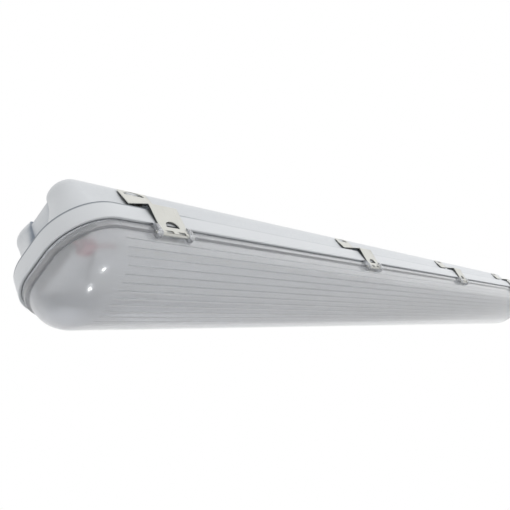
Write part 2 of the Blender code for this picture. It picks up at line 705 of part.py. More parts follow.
def bulge_ring(angle, wall):
    """The cover's section at one angle of its superellipse; wall draws it in for the inner face."""
    share = math.cos(angle) ** (2 / COVER_SQUARENESS)
    fall = math.sin(angle) ** (2 / COVER_SQUARENESS)
    half_width = (HALF_WIDTH - COVER_NECK_INSET - wall) * share
    end_inset = COVER_NECK_INSET + wall + COVER_DOME_LENGTH * (1 - share)
    corner = (RIM_CORNER - COVER_NECK_INSET - wall) * share
    height = COVER_NECK_UP - (COVER_BULGE_DEPTH - wall) * fall
    return outline(HALF_LENGTH - end_inset, half_width, corner, up(height))


# Clear cover: a tongue that presses the gasket, a flange under the band and the long domed bowl
def cover_shell_mesh():
    angles = [(index + 1) / COVER_RINGS * COVER_BOTTOM_ANGLE for index in range(COVER_RINGS)]
    tongue_in_end = GROOVE_INNER_END - TONGUE_PLAY
    tongue_in_side = GROOVE_INNER_SIDE - TONGUE_PLAY
    tongue_out_end = tongue_in_end - TONGUE_THICKNESS
    tongue_out_side = tongue_in_side - TONGUE_THICKNESS
    tongue_top = GROOVE_TOP_UP - CLEARANCE - GASKET_HEIGHT - CLEARANCE
    flange_low = -COVER_GAP - FLANGE_HEIGHT
    inner_neck = COVER_NECK_INSET + COVER_WALL
    rings = [bulge_ring(angle, COVER_WALL) for angle in reversed(angles)]
    rings += [
        rim_ring(inner_neck, inner_neck, COVER_NECK_UP),
        rim_ring(tongue_in_end, tongue_in_side, -COVER_GAP),
        rim_ring(tongue_in_end, tongue_in_side, tongue_top),
        rim_ring(tongue_out_end, tongue_out_side, tongue_top),
        rim_ring(tongue_out_end, tongue_out_side, -COVER_GAP),
        rim_ring(FLANGE_INSET, FLANGE_INSET, -COVER_GAP),
        rim_ring(FLANGE_INSET, FLANGE_INSET, flange_low),
        rim_ring(FLANGE_INSET + FLANGE_FILLET, FLANGE_INSET + FLANGE_FILLET, flange_low - FLANGE_FILLET),
        rim_ring(COVER_NECK_INSET, COVER_NECK_INSET, COVER_NECK_UP),
    ]
    rings += [bulge_ring(angle, 0.0) for angle in angles]
    return loft("diffuser", rings)


def cheek_places(x):
    """Low and high X of the two cheeks beside a latch."""
    inner = LATCH_WIDTH / 2 + CHEEK_PLAY
    outer = inner + CHEEK_THICKNESS
    return ((x - outer, x - inner), (x + inner, x + outer))


def make_cover():
    cover = add("diffuser", cover_shell_mesh(), CLEAR_POLYCARBONATE)
    root = HALF_WIDTH - COVER_NECK_INSET - CHEEK_ROOT_DEPTH
    cheeks = []
    holes = []
    for _, side, x in latch_positions():
        edges = sorted((side * root, side * CHEEK_OUT))
        for low, high in cheek_places(x):
            cheeks.append(block_mesh("cheek", (low, edges[0], up(CHEEK_LOW_UP)),
                                     (high, edges[1], up(CHEEK_TOP_UP)), CHEEK_ROUNDING, along=0))
            holes.append(rod_mesh("pin_hole", LATCH_PIN_RADIUS + PIN_HOLE_PLAY,
                                  (low - OVERRUN / 4, side * LATCH_PIN_OUT, up(LATCH_PIN_UP)),
                                  (high + OVERRUN / 4, side * LATCH_PIN_OUT, up(LATCH_PIN_UP))))
    boolean(cover, cutter("cheek_forms", joined_mesh("cheek_forms", cheeks)), "UNION")
    boolean(cover, cutter("pin_holes", joined_mesh("pin_holes", holes)), "DIFFERENCE")
    return cover


# Latch: one strip bent round its pin, up over the ledge and into a finger lever
def latch_line():
    """The strip's middle line as (out, up) from the pin, from the end of the curl to the lever's tip."""
    radius = LATCH_PIN_RADIUS + LATCH_KNUCKLE_PLAY + LATCH_SHEET / 2
    line = []
    for step in range(KNUCKLE_STEPS + 1):
        angle = KNUCKLE_END + (KNUCKLE_START - KNUCKLE_END) * step / KNUCKLE_STEPS
        line.append((radius * math.cos(angle), radius * math.sin(angle)))
    bends = [
        (LATCH_LEAF_OUT, LATCH_LEAF_LOW_UP),
        (LATCH_BEND_OUT, LATCH_BEND_UP),
        (LATCH_LEVER_OUT, LATCH_LEVER_LOW_UP),
        (LATCH_LEVER_TOP_OUT, LATCH_LEVER_TOP_UP),
    ]
    return line + [(out - LATCH_PIN_OUT, height - LATCH_PIN_UP) for out, height in bends]


def slot_mesh(name, width, low, high, out):
    reach = 2 * LATCH_SHEET
    return block_mesh(name, (-width / 2, -out - reach, low - LATCH_PIN_UP),
                      (width / 2, -out + reach, high - LATCH_PIN_UP),
                      (high - low) / 3, along=1, segments=2)


def make_latches():
    leaf_out = LATCH_LEAF_OUT + LATCH_SHEET - LATCH_PIN_OUT
    lever_out = LATCH_LEVER_TOP_OUT + LATCH_SHEET - LATCH_PIN_OUT
    slots = cutter("latch_slots", joined_mesh("latch_slots", [
        slot_mesh("leaf_slot", LATCH_SLOT_WIDTH, LATCH_SLOT_LOW_UP, LATCH_SLOT_HIGH_UP, leaf_out),
        slot_mesh("lever_slot", LEVER_SLOT_WIDTH, LEVER_SLOT_LOW_UP, LEVER_SLOT_HIGH_UP, lever_out),
    ]))
    near_line = [(-out, height) for out, height in latch_line()]
    pattern = add("latch_pattern", strip_mesh("latch", near_line, -LATCH_WIDTH / 2, LATCH_WIDTH / 2))
    thicken(pattern, LATCH_SHEET)
    boolean(pattern, slots, "DIFFERENCE")
    strip = welded_mesh(pattern, "latch", Matrix())
    for name, side, x in latch_positions():
        latch = add(f"latch_{name}", strip, STAINLESS_STEEL)
        latch.location = (x, side * LATCH_PIN_OUT, up(LATCH_PIN_UP))
        latch.rotation_euler = (0.0, 0.0, math.pi if side > 0 else 0.0)
        half_pin = LATCH_WIDTH / 2 + CHEEK_PLAY + CHEEK_THICKNESS + LATCH_PIN_PROUD
        pin = rod_mesh(f"latch_pin_{name}", LATCH_PIN_RADIUS, (-half_pin, 0.0, 0.0), (half_pin, 0.0, 0.0))
        add(f"latch_pin_{name}", pin, STAINLESS_STEEL).location = latch.location


# Gear tray: a white steel channel hung from four bosses under the roof
def make_tray():
    half = TRAY_WIDTH / 2
    end = TRAY_HALF_LENGTH
    low = up(TRAY_UP)
    high = low + TRAY_SHEET
    rim = low + TRAY_FLANGE_HEIGHT
    channel = [(-half, rim), (-half, low), (half, low), (half, rim)]
    tray = add("gear_tray", strip_mesh("gear_tray", channel, -end, end), WHITE_STEEL)
    thicken(tray, TRAY_SHEET, TRAY_INWARD)
    holes = [rod_mesh("tray_hole", TRAY_SCREW_RADIUS + SCREW_PLAY, (x, 0.0, low - OVERRUN),
                      (x, 0.0, high + OVERRUN)) for x in boss_positions()]
    small = [(x, DRIVER_Y) for x in driver_screw_x()] + [(EARTH_X, EARTH_Y)]
    holes += [rod_mesh("small_hole", DRIVER_SCREW_RADIUS + SCREW_PLAY, (x, y, low - OVERRUN),
                       (x, y, high + OVERRUN)) for x, y in small]
    boolean(tray, cutter("tray_holes", joined_mesh("tray_holes", holes)), "DIFFERENCE")
    for index, x in enumerate(boss_positions(), 1):
        make_screw(f"tray_screw_{index}", (x, 0.0, low - CLEARANCE), -1, TRAY_SCREW_RADIUS, TRAY_SCREW_LENGTH,
                   TRAY_SCREW_HEAD_RADIUS, TRAY_SCREW_HEAD_HEIGHT)
    return tray


def make_screw(name, seat, head_side, radius, length, head_radius, head_height):
    """A pan-head screw whose head lies on one side of its seat, above (1) or below (-1)."""
    x, y, z = seat
    head = rod_mesh(name, head_radius, (x, y, z), (x, y, z + head_side * head_height))
    screw = add(name, head, ZINC_STEEL)
    shank = rod_mesh(f"{name}_shank", radius, (x, y, z + head_side * head_height / 2),
                     (x, y, z - head_side * length))
    boolean(screw, cutter(f"{name}_shank", shank), "UNION")
    return screw


def make_boards():
    top = up(TRAY_UP) - CLEARANCE
    for row, side in enumerate((-1, 1)):
        for half, end in enumerate((-1, 1)):
            near = end * BOARD_JOINT / 2
            edges = sorted((near, near + end * BOARD_LENGTH))
            middle = side * BOARD_ROW_Y
            name = f"led_board_{2 * row + half + 1}"
            board = block_mesh(name, (edges[0], middle - BOARD_WIDTH / 2, top - BOARD_THICKNESS),
                               (edges[1], middle + BOARD_WIDTH / 2, top))
            add(name, board, WHITE_BOARD)


def driver_screw_x():
    reach = DRIVER_LENGTH / 2 + DRIVER_EAR_LENGTH / 2
    return (-reach, reach)


def make_driver():
    base = up(TRAY_UP) + TRAY_SHEET + CLEARANCE
    half = DRIVER_LENGTH / 2
    half_width = DRIVER_WIDTH / 2
    shell = block_mesh("led_driver", (-half, DRIVER_Y - half_width, base),
                       (half, DRIVER_Y + half_width, base + DRIVER_HEIGHT), DRIVER_ROUNDING, along=0, segments=2)
    driver = add("led_driver", shell, DRIVER_SHELL)
    reach = half + DRIVER_EAR_LENGTH
    half_ear = DRIVER_EAR_WIDTH / 2
    ear_top = base + DRIVER_EAR_THICKNESS
    ears = block_mesh("driver_ears", (-reach, DRIVER_Y - half_ear, base), (reach, DRIVER_Y + half_ear, ear_top))
    boolean(driver, cutter("driver_ears", ears), "UNION")
    holes = [rod_mesh("ear_hole", DRIVER_SCREW_RADIUS + SCREW_PLAY, (x, DRIVER_Y, base - OVERRUN),
                      (x, DRIVER_Y, ear_top + OVERRUN)) for x in driver_screw_x()]
    boolean(driver, cutter("ear_holes", joined_mesh("ear_holes", holes)), "DIFFERENCE")
    for index, x in enumerate(driver_screw_x(), 1):
        make_screw(f"driver_screw_{index}", (x, DRIVER_Y, ear_top + CLEARANCE), 1, DRIVER_SCREW_RADIUS,
                   DRIVER_SCREW_LENGTH, DRIVER_SCREW_HEAD_RADIUS, DRIVER_SCREW_HEAD_HEIGHT)


def terminal_entry(pole):
    """Y of one pole's wire entry."""
    pitch = TERMINAL_WIDTH / TERMINAL_POLES
    return TERMINAL_Y + (pole - (TERMINAL_POLES - 1) / 2) * pitch


def make_terminals():
    base = up(TRAY_UP) + TRAY_SHEET + CLEARANCE
    low_x = TERMINAL_X - TERMINAL_LENGTH / 2
    block = add("terminal_block", block_mesh(
        "terminal_block", (low_x, TERMINAL_Y - TERMINAL_WIDTH / 2, base),
        (low_x + TERMINAL_LENGTH, TERMINAL_Y + TERMINAL_WIDTH / 2, base + TERMINAL_HEIGHT)), WHITE_PLASTIC)
    entries = []
    for pole in range(TERMINAL_POLES):
        y = terminal_entry(pole)
        z = base + TERMINAL_HEIGHT / 2
        entries.append(rod_mesh("entry", TERMINAL_ENTRY_RADIUS, (low_x - OVERRUN, y, z),
                                (low_x + TERMINAL_ENTRY_DEPTH, y, z)))
        entries.append(rod_mesh("entry", TERMINAL_ENTRY_RADIUS, (low_x + TERMINAL_LENGTH + OVERRUN, y, z),
                                (low_x + TERMINAL_LENGTH - TERMINAL_ENTRY_DEPTH, y, z)))
        entries.append(rod_mesh("screw_well", TERMINAL_ENTRY_RADIUS,
                                (TERMINAL_X, y, base + TERMINAL_HEIGHT + OVERRUN),
                                (TERMINAL_X, y, base + TERMINAL_HEIGHT - TERMINAL_ENTRY_DEPTH / 2)))
    boolean(block, cutter("terminal_entries", joined_mesh("terminal_entries", entries)), "DIFFERENCE")


def connector_box():
    high_z = up(TRAY_UP) - CLEARANCE
    low_x = -TRAY_HALF_LENGTH - CONNECTOR_OVERHANG
    return ((low_x, CONNECTOR_Y - CONNECTOR_WIDTH / 2, high_z - CONNECTOR_HEIGHT),
            (low_x + CONNECTOR_LENGTH, CONNECTOR_Y + CONNECTOR_WIDTH / 2, high_z))


def connector_entries(end):
    """The two wire entries at one end of the connector, -1 outer or 1 inner."""
    low, high = connector_box()
    x = low[0] if end < 0 else high[0]
    z = (low[2] + high[2]) / 2
    return [(x, CONNECTOR_Y + side * CONNECTOR_ENTRY_SPACING / 2, z) for side in (-1, 1)]


def make_connector():
    low, high = connector_box()
    connector = add("wire_connector", block_mesh("wire_connector", low, high, CONNECTOR_ROUNDING, along=0,
                                                 segments=2), RED_PLASTIC)
    holes = []
    for end in (-1, 1):
        for x, y, z in connector_entries(end):
            holes.append(rod_mesh("hole", CONNECTOR_ENTRY_RADIUS, (x + end * OVERRUN, y, z),
                                  (x - end * CONNECTOR_ENTRY_DEPTH, y, z)))
    boolean(connector, cutter("connector_holes", joined_mesh("connector_holes", holes)), "DIFFERENCE")


# Wires: each bends smoothly through its own route points
def make_wire(name, points, colour):
    curve = bpy.data.curves.new(name, "CURVE")
    curve.dimensions = "3D"
    curve.resolution_u = WIRE_STEPS
    curve.bevel_depth = WIRE_RADIUS
    curve.bevel_resolution = 2
    curve.use_fill_caps = True
    spline = curve.splines.new("BEZIER")
    spline.bezier_points.add(len(points) - 1)
    for knot, place in zip(spline.bezier_points, points):
        knot.co = place
        knot.handle_left_type = "AUTO"
        knot.handle_right_type = "AUTO"
    return add(name, curve, WIRE_FINISHES[colour])


def make_wires():
    floor = up(TRAY_UP) + TRAY_SHEET + WIRE_FLOAT + WIRE_RADIUS
    entry = up(TRAY_UP) + TRAY_SHEET + CLEARANCE + TERMINAL_HEIGHT / 2
    terminal_face = TERMINAL_X - TERMINAL_LENGTH / 2 - CLEARANCE
    driver_face = DRIVER_LENGTH / 2 + CLEARANCE
    driver_entry = up(TRAY_UP) + TRAY_SHEET + CLEARANCE + DRIVER_HEIGHT / 2
    mains = (("wire_live", "brown", 0, -DRIVER_WIRE_Y), ("wire_neutral", "blue", 1, DRIVER_WIRE_Y))
    for name, colour, pole, offset in mains:
        y = terminal_entry(pole)
        lane = TERMINAL_Y + offset
        make_wire(name, [
            (terminal_face, y, entry),
            (terminal_face - WIRE_BEND, y, entry),
            (terminal_face - 3 * WIRE_BEND, lane, floor),
            (terminal_face - 5 * WIRE_BEND, lane, floor),
            (driver_face + 6 * WIRE_BEND, lane, floor),
            (driver_face + 4 * WIRE_BEND, lane, floor),
            (driver_face + WIRE_BEND, DRIVER_Y + offset, driver_entry),
            (driver_face, DRIVER_Y + offset, driver_entry),
        ], colour)

    earth_y = terminal_entry(2)
    make_wire("wire_earth", [
        (terminal_face, earth_y, entry),
        (terminal_face - WIRE_BEND / 2, earth_y, entry),
        (EARTH_X, EARTH_Y - EARTH_SCREW_HEAD_RADIUS - WIRE_BEND / 2, floor),
        (EARTH_X, EARTH_Y - EARTH_SCREW_HEAD_RADIUS - WIRE_FLOAT, floor),
    ], "green")

    outer = connector_entries(-1)
    inner = connector_entries(1)
    low, _ = connector_box()
    tray_end = -TRAY_HALF_LENGTH
    turn_x = low[0] - WIRE_BEND
    feeds = (("wire_led_plus", "red", outer[0], -DRIVER_WIRE_Y),
             ("wire_led_minus", "black", outer[1], DRIVER_WIRE_Y))
    for name, colour, (x, y, z), offset in feeds:
        lane = CONNECTOR_Y + offset
        make_wire(name, [
            (-driver_face, DRIVER_Y + offset, driver_entry),
            (-driver_face - WIRE_BEND, DRIVER_Y + offset, driver_entry),
            (-driver_face - 4 * WIRE_BEND, lane, floor),
            (-driver_face - 6 * WIRE_BEND, lane, floor),
            (tray_end + 3 * WIRE_BEND, lane, floor),
            (tray_end, lane, floor + WIRE_RADIUS),
            (turn_x, (lane + y) / 2, (floor + z) / 2),
            (x - CLEARANCE, y, z),
        ], colour)

    board_z = up(TRAY_UP) - WIRE_FLOAT - WIRE_RADIUS
    board_end = -BOARD_LENGTH - BOARD_JOINT / 2 - CLEARANCE
    for index, ((x, y, z), board_y) in enumerate(zip(inner, (-BOARD_ROW_Y, BOARD_ROW_Y)), 1):
        make_wire(f"wire_board_{index}", [
            (x + CLEARANCE, y, z),
            (x + WIRE_BEND / 2, y, z),
            (board_end - WIRE_BEND / 2, board_y, board_z),
            (board_end, board_y, board_z),
        ], "red" if index == 1 else "black")
    make_wire("wire_board_link", [
        (-board_end, -BOARD_ROW_Y, board_z),
        (-board_end + WIRE_BEND / 2, -BOARD_ROW_Y, board_z),
        (-board_end + WIRE_BEND, -BOARD_ROW_Y + WIRE_BEND / 2, board_z),
        (-board_end + WIRE_BEND, BOARD_ROW_Y - WIRE_BEND / 2, board_z),
        (-board_end + WIRE_BEND / 2, BOARD_ROW_Y, board_z),
        (-board_end, BOARD_ROW_Y, board_z),
    ], "red")


# Cable gland, screwed through the pad at the far end; distances run along X from the pad's face
def ring_profile(inner, outer, low, high):
    return [(outer, high), (outer, low), (inner, low), (inner, high)]


def make_gland():
    face = HALF_LENGTH - GLAND_PAD_FACE_INSET
    washer_low = CLEARANCE
    washer_high = washer_low + GLAND_WASHER_THICKNESS
    hex_low = washer_high + CLEARANCE
    hex_high = hex_low + GLAND_HEX_LENGTH
    neck_high = hex_high + GLAND_NECK_LENGTH
    nut_low = hex_high + CLEARANCE
    nut_high = nut_low + GLAND_NUT_LENGTH
    corner_share = 1 / math.cos(math.pi / HEX_SIDES)

    stem = [
        (GLAND_THREAD_RADIUS, hex_low + OVERRUN),
        (GLAND_THREAD_RADIUS, -GLAND_THREAD_LENGTH),
        (GLAND_BORE_RADIUS, -GLAND_THREAD_LENGTH),
        (GLAND_BORE_RADIUS, neck_high),
        (GLAND_NECK_RADIUS, neck_high),
        (GLAND_NECK_RADIUS, hex_low + OVERRUN),
    ]
    body = turned("gland_body", stem, GREY_NYLON, face)
    hexagon = rod_mesh("gland_hexagon", GLAND_HEX_ACROSS / 2 * corner_share,
                       (face + hex_low, 0.0, up(GLAND_UP)), (face + hex_high, 0.0, up(GLAND_UP)), HEX_SIDES)
    boolean(body, cutter("gland_hexagon", hexagon), "UNION")
    bore = rod_mesh("gland_body_bore", GLAND_BORE_RADIUS,
                    (face - GLAND_THREAD_LENGTH - OVERRUN, 0.0, up(GLAND_UP)),
                    (face + neck_high + OVERRUN, 0.0, up(GLAND_UP)), 2 * ROUND_STEPS)
    boolean(body, cutter("gland_body_bore", bore), "DIFFERENCE")

    turned("gland_washer", ring_profile(GLAND_THREAD_RADIUS + GLAND_PLAY, GLAND_WASHER_RADIUS,
                                        washer_low, washer_high), BLACK_RUBBER, face)
    turned("gland_seal", ring_profile(GLAND_SEAL_RADIUS, GLAND_NECK_RADIUS, neck_high + CLEARANCE,
                                      nut_high - GLAND_NUT_LIP - CLEARANCE), BLACK_RUBBER, face)
    neck_bore = GLAND_NECK_RADIUS + GLAND_PLAY
    turned("gland_nut", [
        (GLAND_NUT_MOUTH_RADIUS, nut_high),
        (GLAND_NUT_RADIUS - GLAND_NUT_SHOULDER, nut_high),
        (GLAND_NUT_RADIUS, nut_high - GLAND_NUT_SHOULDER),
        (GLAND_NUT_RADIUS, nut_low),
        (neck_bore, nut_low),
        (neck_bore, nut_high - GLAND_NUT_LIP),
        (GLAND_NUT_MOUTH_RADIUS, nut_high - GLAND_NUT_LIP),
    ], GREY_NYLON, face)

    nut_face = face - BODY_WALL - CLEARANCE
    nut_form = rod_mesh("gland_lock_nut", GLAND_LOCK_NUT_ACROSS / 2 * corner_share,
                        (nut_face - GLAND_LOCK_NUT_LENGTH, 0.0, up(GLAND_UP)),
                        (nut_face, 0.0, up(GLAND_UP)), HEX_SIDES)
    nut = add("gland_lock_nut", nut_form, GREY_NYLON)
    thread = rod_mesh("lock_nut_thread", GLAND_THREAD_RADIUS + GLAND_PLAY / 2,
                      (nut_face - GLAND_LOCK_NUT_LENGTH - OVERRUN, 0.0, up(GLAND_UP)),
                      (nut_face + OVERRUN, 0.0, up(GLAND_UP)), 2 * ROUND_STEPS)
    boolean(nut, cutter("lock_nut_thread", thread), "DIFFERENCE")


# Mounting brackets: a plate on the ceiling with two tabs that snap under the lugs in the channel
def make_brackets():
    top = 0.0
    low = -BRACKET_SHEET
    for index, end in enumerate((-1, 1), 1):
        x = end * BRACKET_SPACING / 2
        plate = block_mesh("plate", (x - BRACKET_WIDTH / 2, -BRACKET_SPAN / 2, low),
                           (x + BRACKET_WIDTH / 2, BRACKET_SPAN / 2, top), BRACKET_CORNER, along=2)
        bracket = add(f"mounting_bracket_{index}", plate, STAINLESS_STEEL)
        tabs = []
        for side in SIDES.values():
            inner = BRACKET_TAB_OUT - BRACKET_SHEET
            foot = -BRACKET_TAB_DEPTH
            barb_high = foot + BRACKET_BARB_HEIGHT
            profile = [(inner, low / 2), (inner, foot), (BRACKET_TAB_OUT, foot),
                       (BRACKET_TAB_OUT + BRACKET_BARB_REACH, barb_high), (BRACKET_TAB_OUT, barb_high),
                       (BRACKET_TAB_OUT, low / 2)]
            tabs.append(prism_mesh("tab", [(side * out, z) for out, z in profile],
                                   x - BRACKET_TAB_WIDTH / 2, x + BRACKET_TAB_WIDTH / 2))
        boolean(bracket, cutter("bracket_tabs", joined_mesh("bracket_tabs", tabs)), "UNION")
        holes = [rod_mesh("hole", BRACKET_HOLE_RADIUS, (x, side * BRACKET_HOLE_Y, low - OVERRUN),
                          (x, side * BRACKET_HOLE_Y, top + OVERRUN)) for side in SIDES.values()]
        boolean(bracket, cutter("bracket_holes", joined_mesh("bracket_holes", holes)), "DIFFERENCE")


def make_earth_screw():
    seat = up(TRAY_UP) + TRAY_SHEET + CLEARANCE
    make_screw("earth_screw", (EARTH_X, EARTH_Y, seat), 1, DRIVER_SCREW_RADIUS, EARTH_SCREW_LENGTH,
               EARTH_SCREW_HEAD_RADIUS, TRAY_SCREW_HEAD_HEIGHT)


make_body()
make_gasket()
make_cover()
make_latches()
make_tray()
make_boards()
make_driver()
make_terminals()
make_connector()
make_earth_screw()
make_wires()
make_gland()
make_brackets()
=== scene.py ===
import math

import bmesh
import bpy
from mathutils import Matrix, Vector


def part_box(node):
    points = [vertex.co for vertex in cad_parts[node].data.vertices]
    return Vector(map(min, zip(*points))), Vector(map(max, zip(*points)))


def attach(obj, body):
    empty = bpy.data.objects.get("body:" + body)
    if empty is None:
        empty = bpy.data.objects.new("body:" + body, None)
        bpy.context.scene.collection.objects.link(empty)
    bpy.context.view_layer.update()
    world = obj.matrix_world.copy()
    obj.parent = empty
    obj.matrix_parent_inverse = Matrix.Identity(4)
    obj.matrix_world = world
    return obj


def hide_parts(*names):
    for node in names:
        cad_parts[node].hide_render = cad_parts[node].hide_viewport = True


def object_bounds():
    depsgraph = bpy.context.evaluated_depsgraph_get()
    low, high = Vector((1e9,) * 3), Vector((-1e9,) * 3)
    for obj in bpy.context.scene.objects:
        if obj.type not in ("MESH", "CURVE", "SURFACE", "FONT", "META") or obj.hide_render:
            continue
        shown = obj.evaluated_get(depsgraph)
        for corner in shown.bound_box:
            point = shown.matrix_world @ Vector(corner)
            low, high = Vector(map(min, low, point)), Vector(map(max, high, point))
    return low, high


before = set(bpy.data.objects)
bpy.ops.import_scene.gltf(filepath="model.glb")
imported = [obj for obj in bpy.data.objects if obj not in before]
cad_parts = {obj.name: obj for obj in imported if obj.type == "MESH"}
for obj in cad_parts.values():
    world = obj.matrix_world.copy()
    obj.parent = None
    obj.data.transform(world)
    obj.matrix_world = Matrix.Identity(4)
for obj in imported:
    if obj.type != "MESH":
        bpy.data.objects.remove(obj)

cad_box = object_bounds()

# Camera: it stands below the near end, a little out to the near side, and looks up along the fixture.
# Its place, turn and lens were fitted to the rim, the ledge and the latches in the photograph.
camera_data = bpy.data.cameras.new("photo_camera")
camera_data.sensor_width = 36.0
camera_data.lens = 46.32
camera_data.shift_y = 0.147
camera = bpy.data.objects.new("photo_camera", camera_data)
camera.location = (-1.1318, -0.3228, -0.3980)
camera.rotation_euler = [math.radians(angle) for angle in (113.964, 31.747, -48.675)]
bpy.context.scene.collection.objects.link(camera)
bpy.context.scene.camera = camera
bpy.context.scene.view_settings.view_transform = "Standard"


# Floor: a plain sheet of matt white paper well below the hanging fixture, which throws soft light back up on the
# cover. Far out it runs into the studio's white, as a paper sweep does, so that no horizon shows.
def linear(hex_colour):
    """An sRGB hex colour as the linear colour that shaders take."""
    channels = [int(hex_colour[place:place + 2], 16) / 255 for place in (1, 3, 5)]
    return (*[c / 12.92 if c <= 0.04045 else ((c + 0.055) / 1.055) ** 2.4 for c in channels], 1.0)


def set_inputs(tree, made, inputs):
    """Gives a node's inputs their values or links."""
    for socket, value in dict(inputs).items():
        if isinstance(value, bpy.types.NodeSocket):
            tree.links.new(value, made.inputs[socket])
        else:
            made.inputs[socket].default_value = value

def node(tree, kind, inputs=(), **settings):
    """Adds a node, sets its settings, and gives its inputs values or links."""
    made = tree.nodes.new(kind)
    for name, value in settings.items():
        setattr(made, name, value)
    set_inputs(tree, made, inputs)
    return made

def new_finish(name):
    """An empty material with its shader and output joined."""
    finish = bpy.data.materials.new(name)
    finish.use_nodes = True
    finish.node_tree.nodes.clear()
    shader = node(finish.node_tree, "ShaderNodeBsdfPrincipled")
    node(finish.node_tree, "ShaderNodeOutputMaterial", {"Surface": shader.outputs["BSDF"]})
    return finish, finish.node_tree, shader


def paint(mesh, finish):
    """Gives a mesh one finish all over."""
    mesh.materials.clear()
    mesh.materials.append(finish)

def add_piece(name, mesh, finish=None):
    """Puts a mesh in the scene as a piece of its own."""
    piece = bpy.data.objects.new(name, mesh)
    bpy.context.scene.collection.objects.link(piece)
    if finish:
        paint(mesh, finish)
    return piece

def seen_directly(tree):
    """1 where the camera or a glossy or clear surface looks, 0 where a matt surface gathers light."""
    path = node(tree, "ShaderNodeLightPath")
    seen = path.outputs["Is Camera Ray"]
    for ray in ("Is Glossy Ray", "Is Transmission Ray"):
        seen = node(tree, "ShaderNodeMath", {0: seen, 1: path.outputs[ray]}, operation="MAXIMUM").outputs[0]
    return seen

FLOOR_HALF_SIZE = 60.0
FLOOR_DROP = 0.9
FLOOR_FADE_FROM = 4.0
FLOOR_FADE_TO = 9.0
white_paper, tree, shader = new_finish("matt_white_paper")
set_inputs(tree, shader, {"Base Color": linear("#F2F2F2"), "Roughness": 0.9})
place = node(tree, "ShaderNodeTexCoord").outputs["Object"]
reach = node(tree, "ShaderNodeVectorMath", {0: place}, operation="LENGTH")
fade = node(tree, "ShaderNodeMapRange", {"Value": reach.outputs["Value"], "From Min": FLOOR_FADE_FROM,
                                         "From Max": FLOOR_FADE_TO})
fade = node(tree, "ShaderNodeMath", {0: fade.outputs["Result"], 1: seen_directly(tree)}, operation="MULTIPLY")
white = node(tree, "ShaderNodeEmission", {"Color": linear("#FFFFFF"), "Strength": 1.0})
sweep = node(tree, "ShaderNodeMixShader", {0: fade.outputs[0], 1: shader.outputs["BSDF"],
                                           2: white.outputs["Emission"]})
tree.links.new(sweep.outputs["Shader"], tree.get_output_node("ALL").inputs["Surface"])
floor_form = bmesh.new()
bmesh.ops.create_grid(floor_form, x_segments=1, y_segments=1, size=FLOOR_HALF_SIZE,
                      matrix=Matrix.Translation((0.0, 0.0, cad_box[0][2] - FLOOR_DROP)))
floor_mesh = bpy.data.meshes.new("floor")
floor_form.to_mesh(floor_mesh)
floor_form.free()
add_piece("floor", floor_mesh, white_paper)

# Light: a white studio. The world is plain white where the camera, glossy or clear surfaces look at it,
# and gives an even soft light; one broad lamp adds a gentle fall from the upper near side, and two small ones
# below show only as the little white glints on the cover's near end.
AMBIENT = 0.72
world = bpy.data.worlds.new("white_studio")
world.use_nodes = True
world.node_tree.nodes.clear()
tree = world.node_tree
strength = node(tree, "ShaderNodeMapRange", {"Value": seen_directly(tree), "To Min": AMBIENT, "To Max": 1.0})
sky = node(tree, "ShaderNodeBackground", {"Color": linear("#FFFFFF"), "Strength": strength.outputs["Result"]})
node(tree, "ShaderNodeOutputWorld", {"Surface": sky.outputs["Background"]})
bpy.context.scene.world = world


def add_lamp(name, place, aim, size, power, glint=False):
    """A square lamp at one place, aimed at another. It lights matt surfaces, or as a glint only glossy ones."""
    lamp_data = bpy.data.lights.new(name, "AREA")
    lamp_data.shape = "SQUARE"
    lamp_data.size = size
    lamp_data.energy = power
    lamp = bpy.data.objects.new(name, lamp_data)
    lamp.location = place
    lamp.rotation_euler = (Vector(aim) - Vector(place)).to_track_quat("-Z", "Y").to_euler()
    lamp.visible_camera = False
    lamp.visible_diffuse = not glint
    lamp.visible_glossy = glint
    lamp.visible_transmission = False
    bpy.context.scene.collection.objects.link(lamp)


KEY_PLACE = (0.6, -2.2, 0.9)
KEY_AIM = (0.2, 0.0, -0.05)
add_lamp("key_lamp", KEY_PLACE, KEY_AIM, size=1.2, power=18.0)
GLINT_REACH = 0.8
GLINT_SIZE = 0.07
GLINT_POWER = 0.8
# Where each glint lies on the cover, and the way from there to its lamp.
GLINTS = (((-0.756, -0.036, -0.108), (-0.01, -0.40, -0.92)), ((-0.761, -0.018, -0.113), (-0.13, 0.22, -0.97)))
for number, (spot, direction) in enumerate(GLINTS, 1):
    add_lamp(f"glint_lamp_{number}", Vector(spot) + GLINT_REACH * Vector(direction), spot, GLINT_SIZE, GLINT_POWER,
             glint=True)

# Moulded body: one injection-moulded shell of light grey polycarbonate, satin from its mould.
# It has a deep band round the rim with the gasket groove in it, a ledge, walls that lean in to a rounded roof,
# a channel between two noses, a pad for the cable gland, wedges for the latches and bosses for the tray.
body_low, body_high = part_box("housing")
HALF_LENGTH = body_high[0]
HALF_WIDTH = body_high[1]
RIM_Z = body_low[2]
RIM_CORNER = 0.051
BAND_HEIGHT = 0.020
BAND_WALL = 0.0028
BAND_SIDE_DRAFT = 0.0004
BAND_END_DRAFT = 0.0040
LEDGE_FILLET = 0.0015
LEDGE_WALL = 0.0028
BODY_WALL = 0.0025
GROOVE_LIP_UP = 0.004
GROOVE_INNER_END = 0.012
GROOVE_INNER_SIDE = 0.008
GROOVE_TOP_UP = BAND_HEIGHT - LEDGE_WALL
WALL_TOP_UP = 0.059
WALL_TOP_END = 0.0305
WALL_TOP_SIDE = 0.0173
WALL_TOP_CORNER = 0.019
WALL_END_BEND = 1.5
WALL_SIDE_BEND = 3.0
WALL_CORNER_BEND = 2.0
WALL_SPREAD = 1.2
ROOF_UP = body_high[2] - body_low[2]
ROOF_ROUNDING = ROOF_UP - WALL_TOP_UP
CHANNEL_WIDTH = 0.030
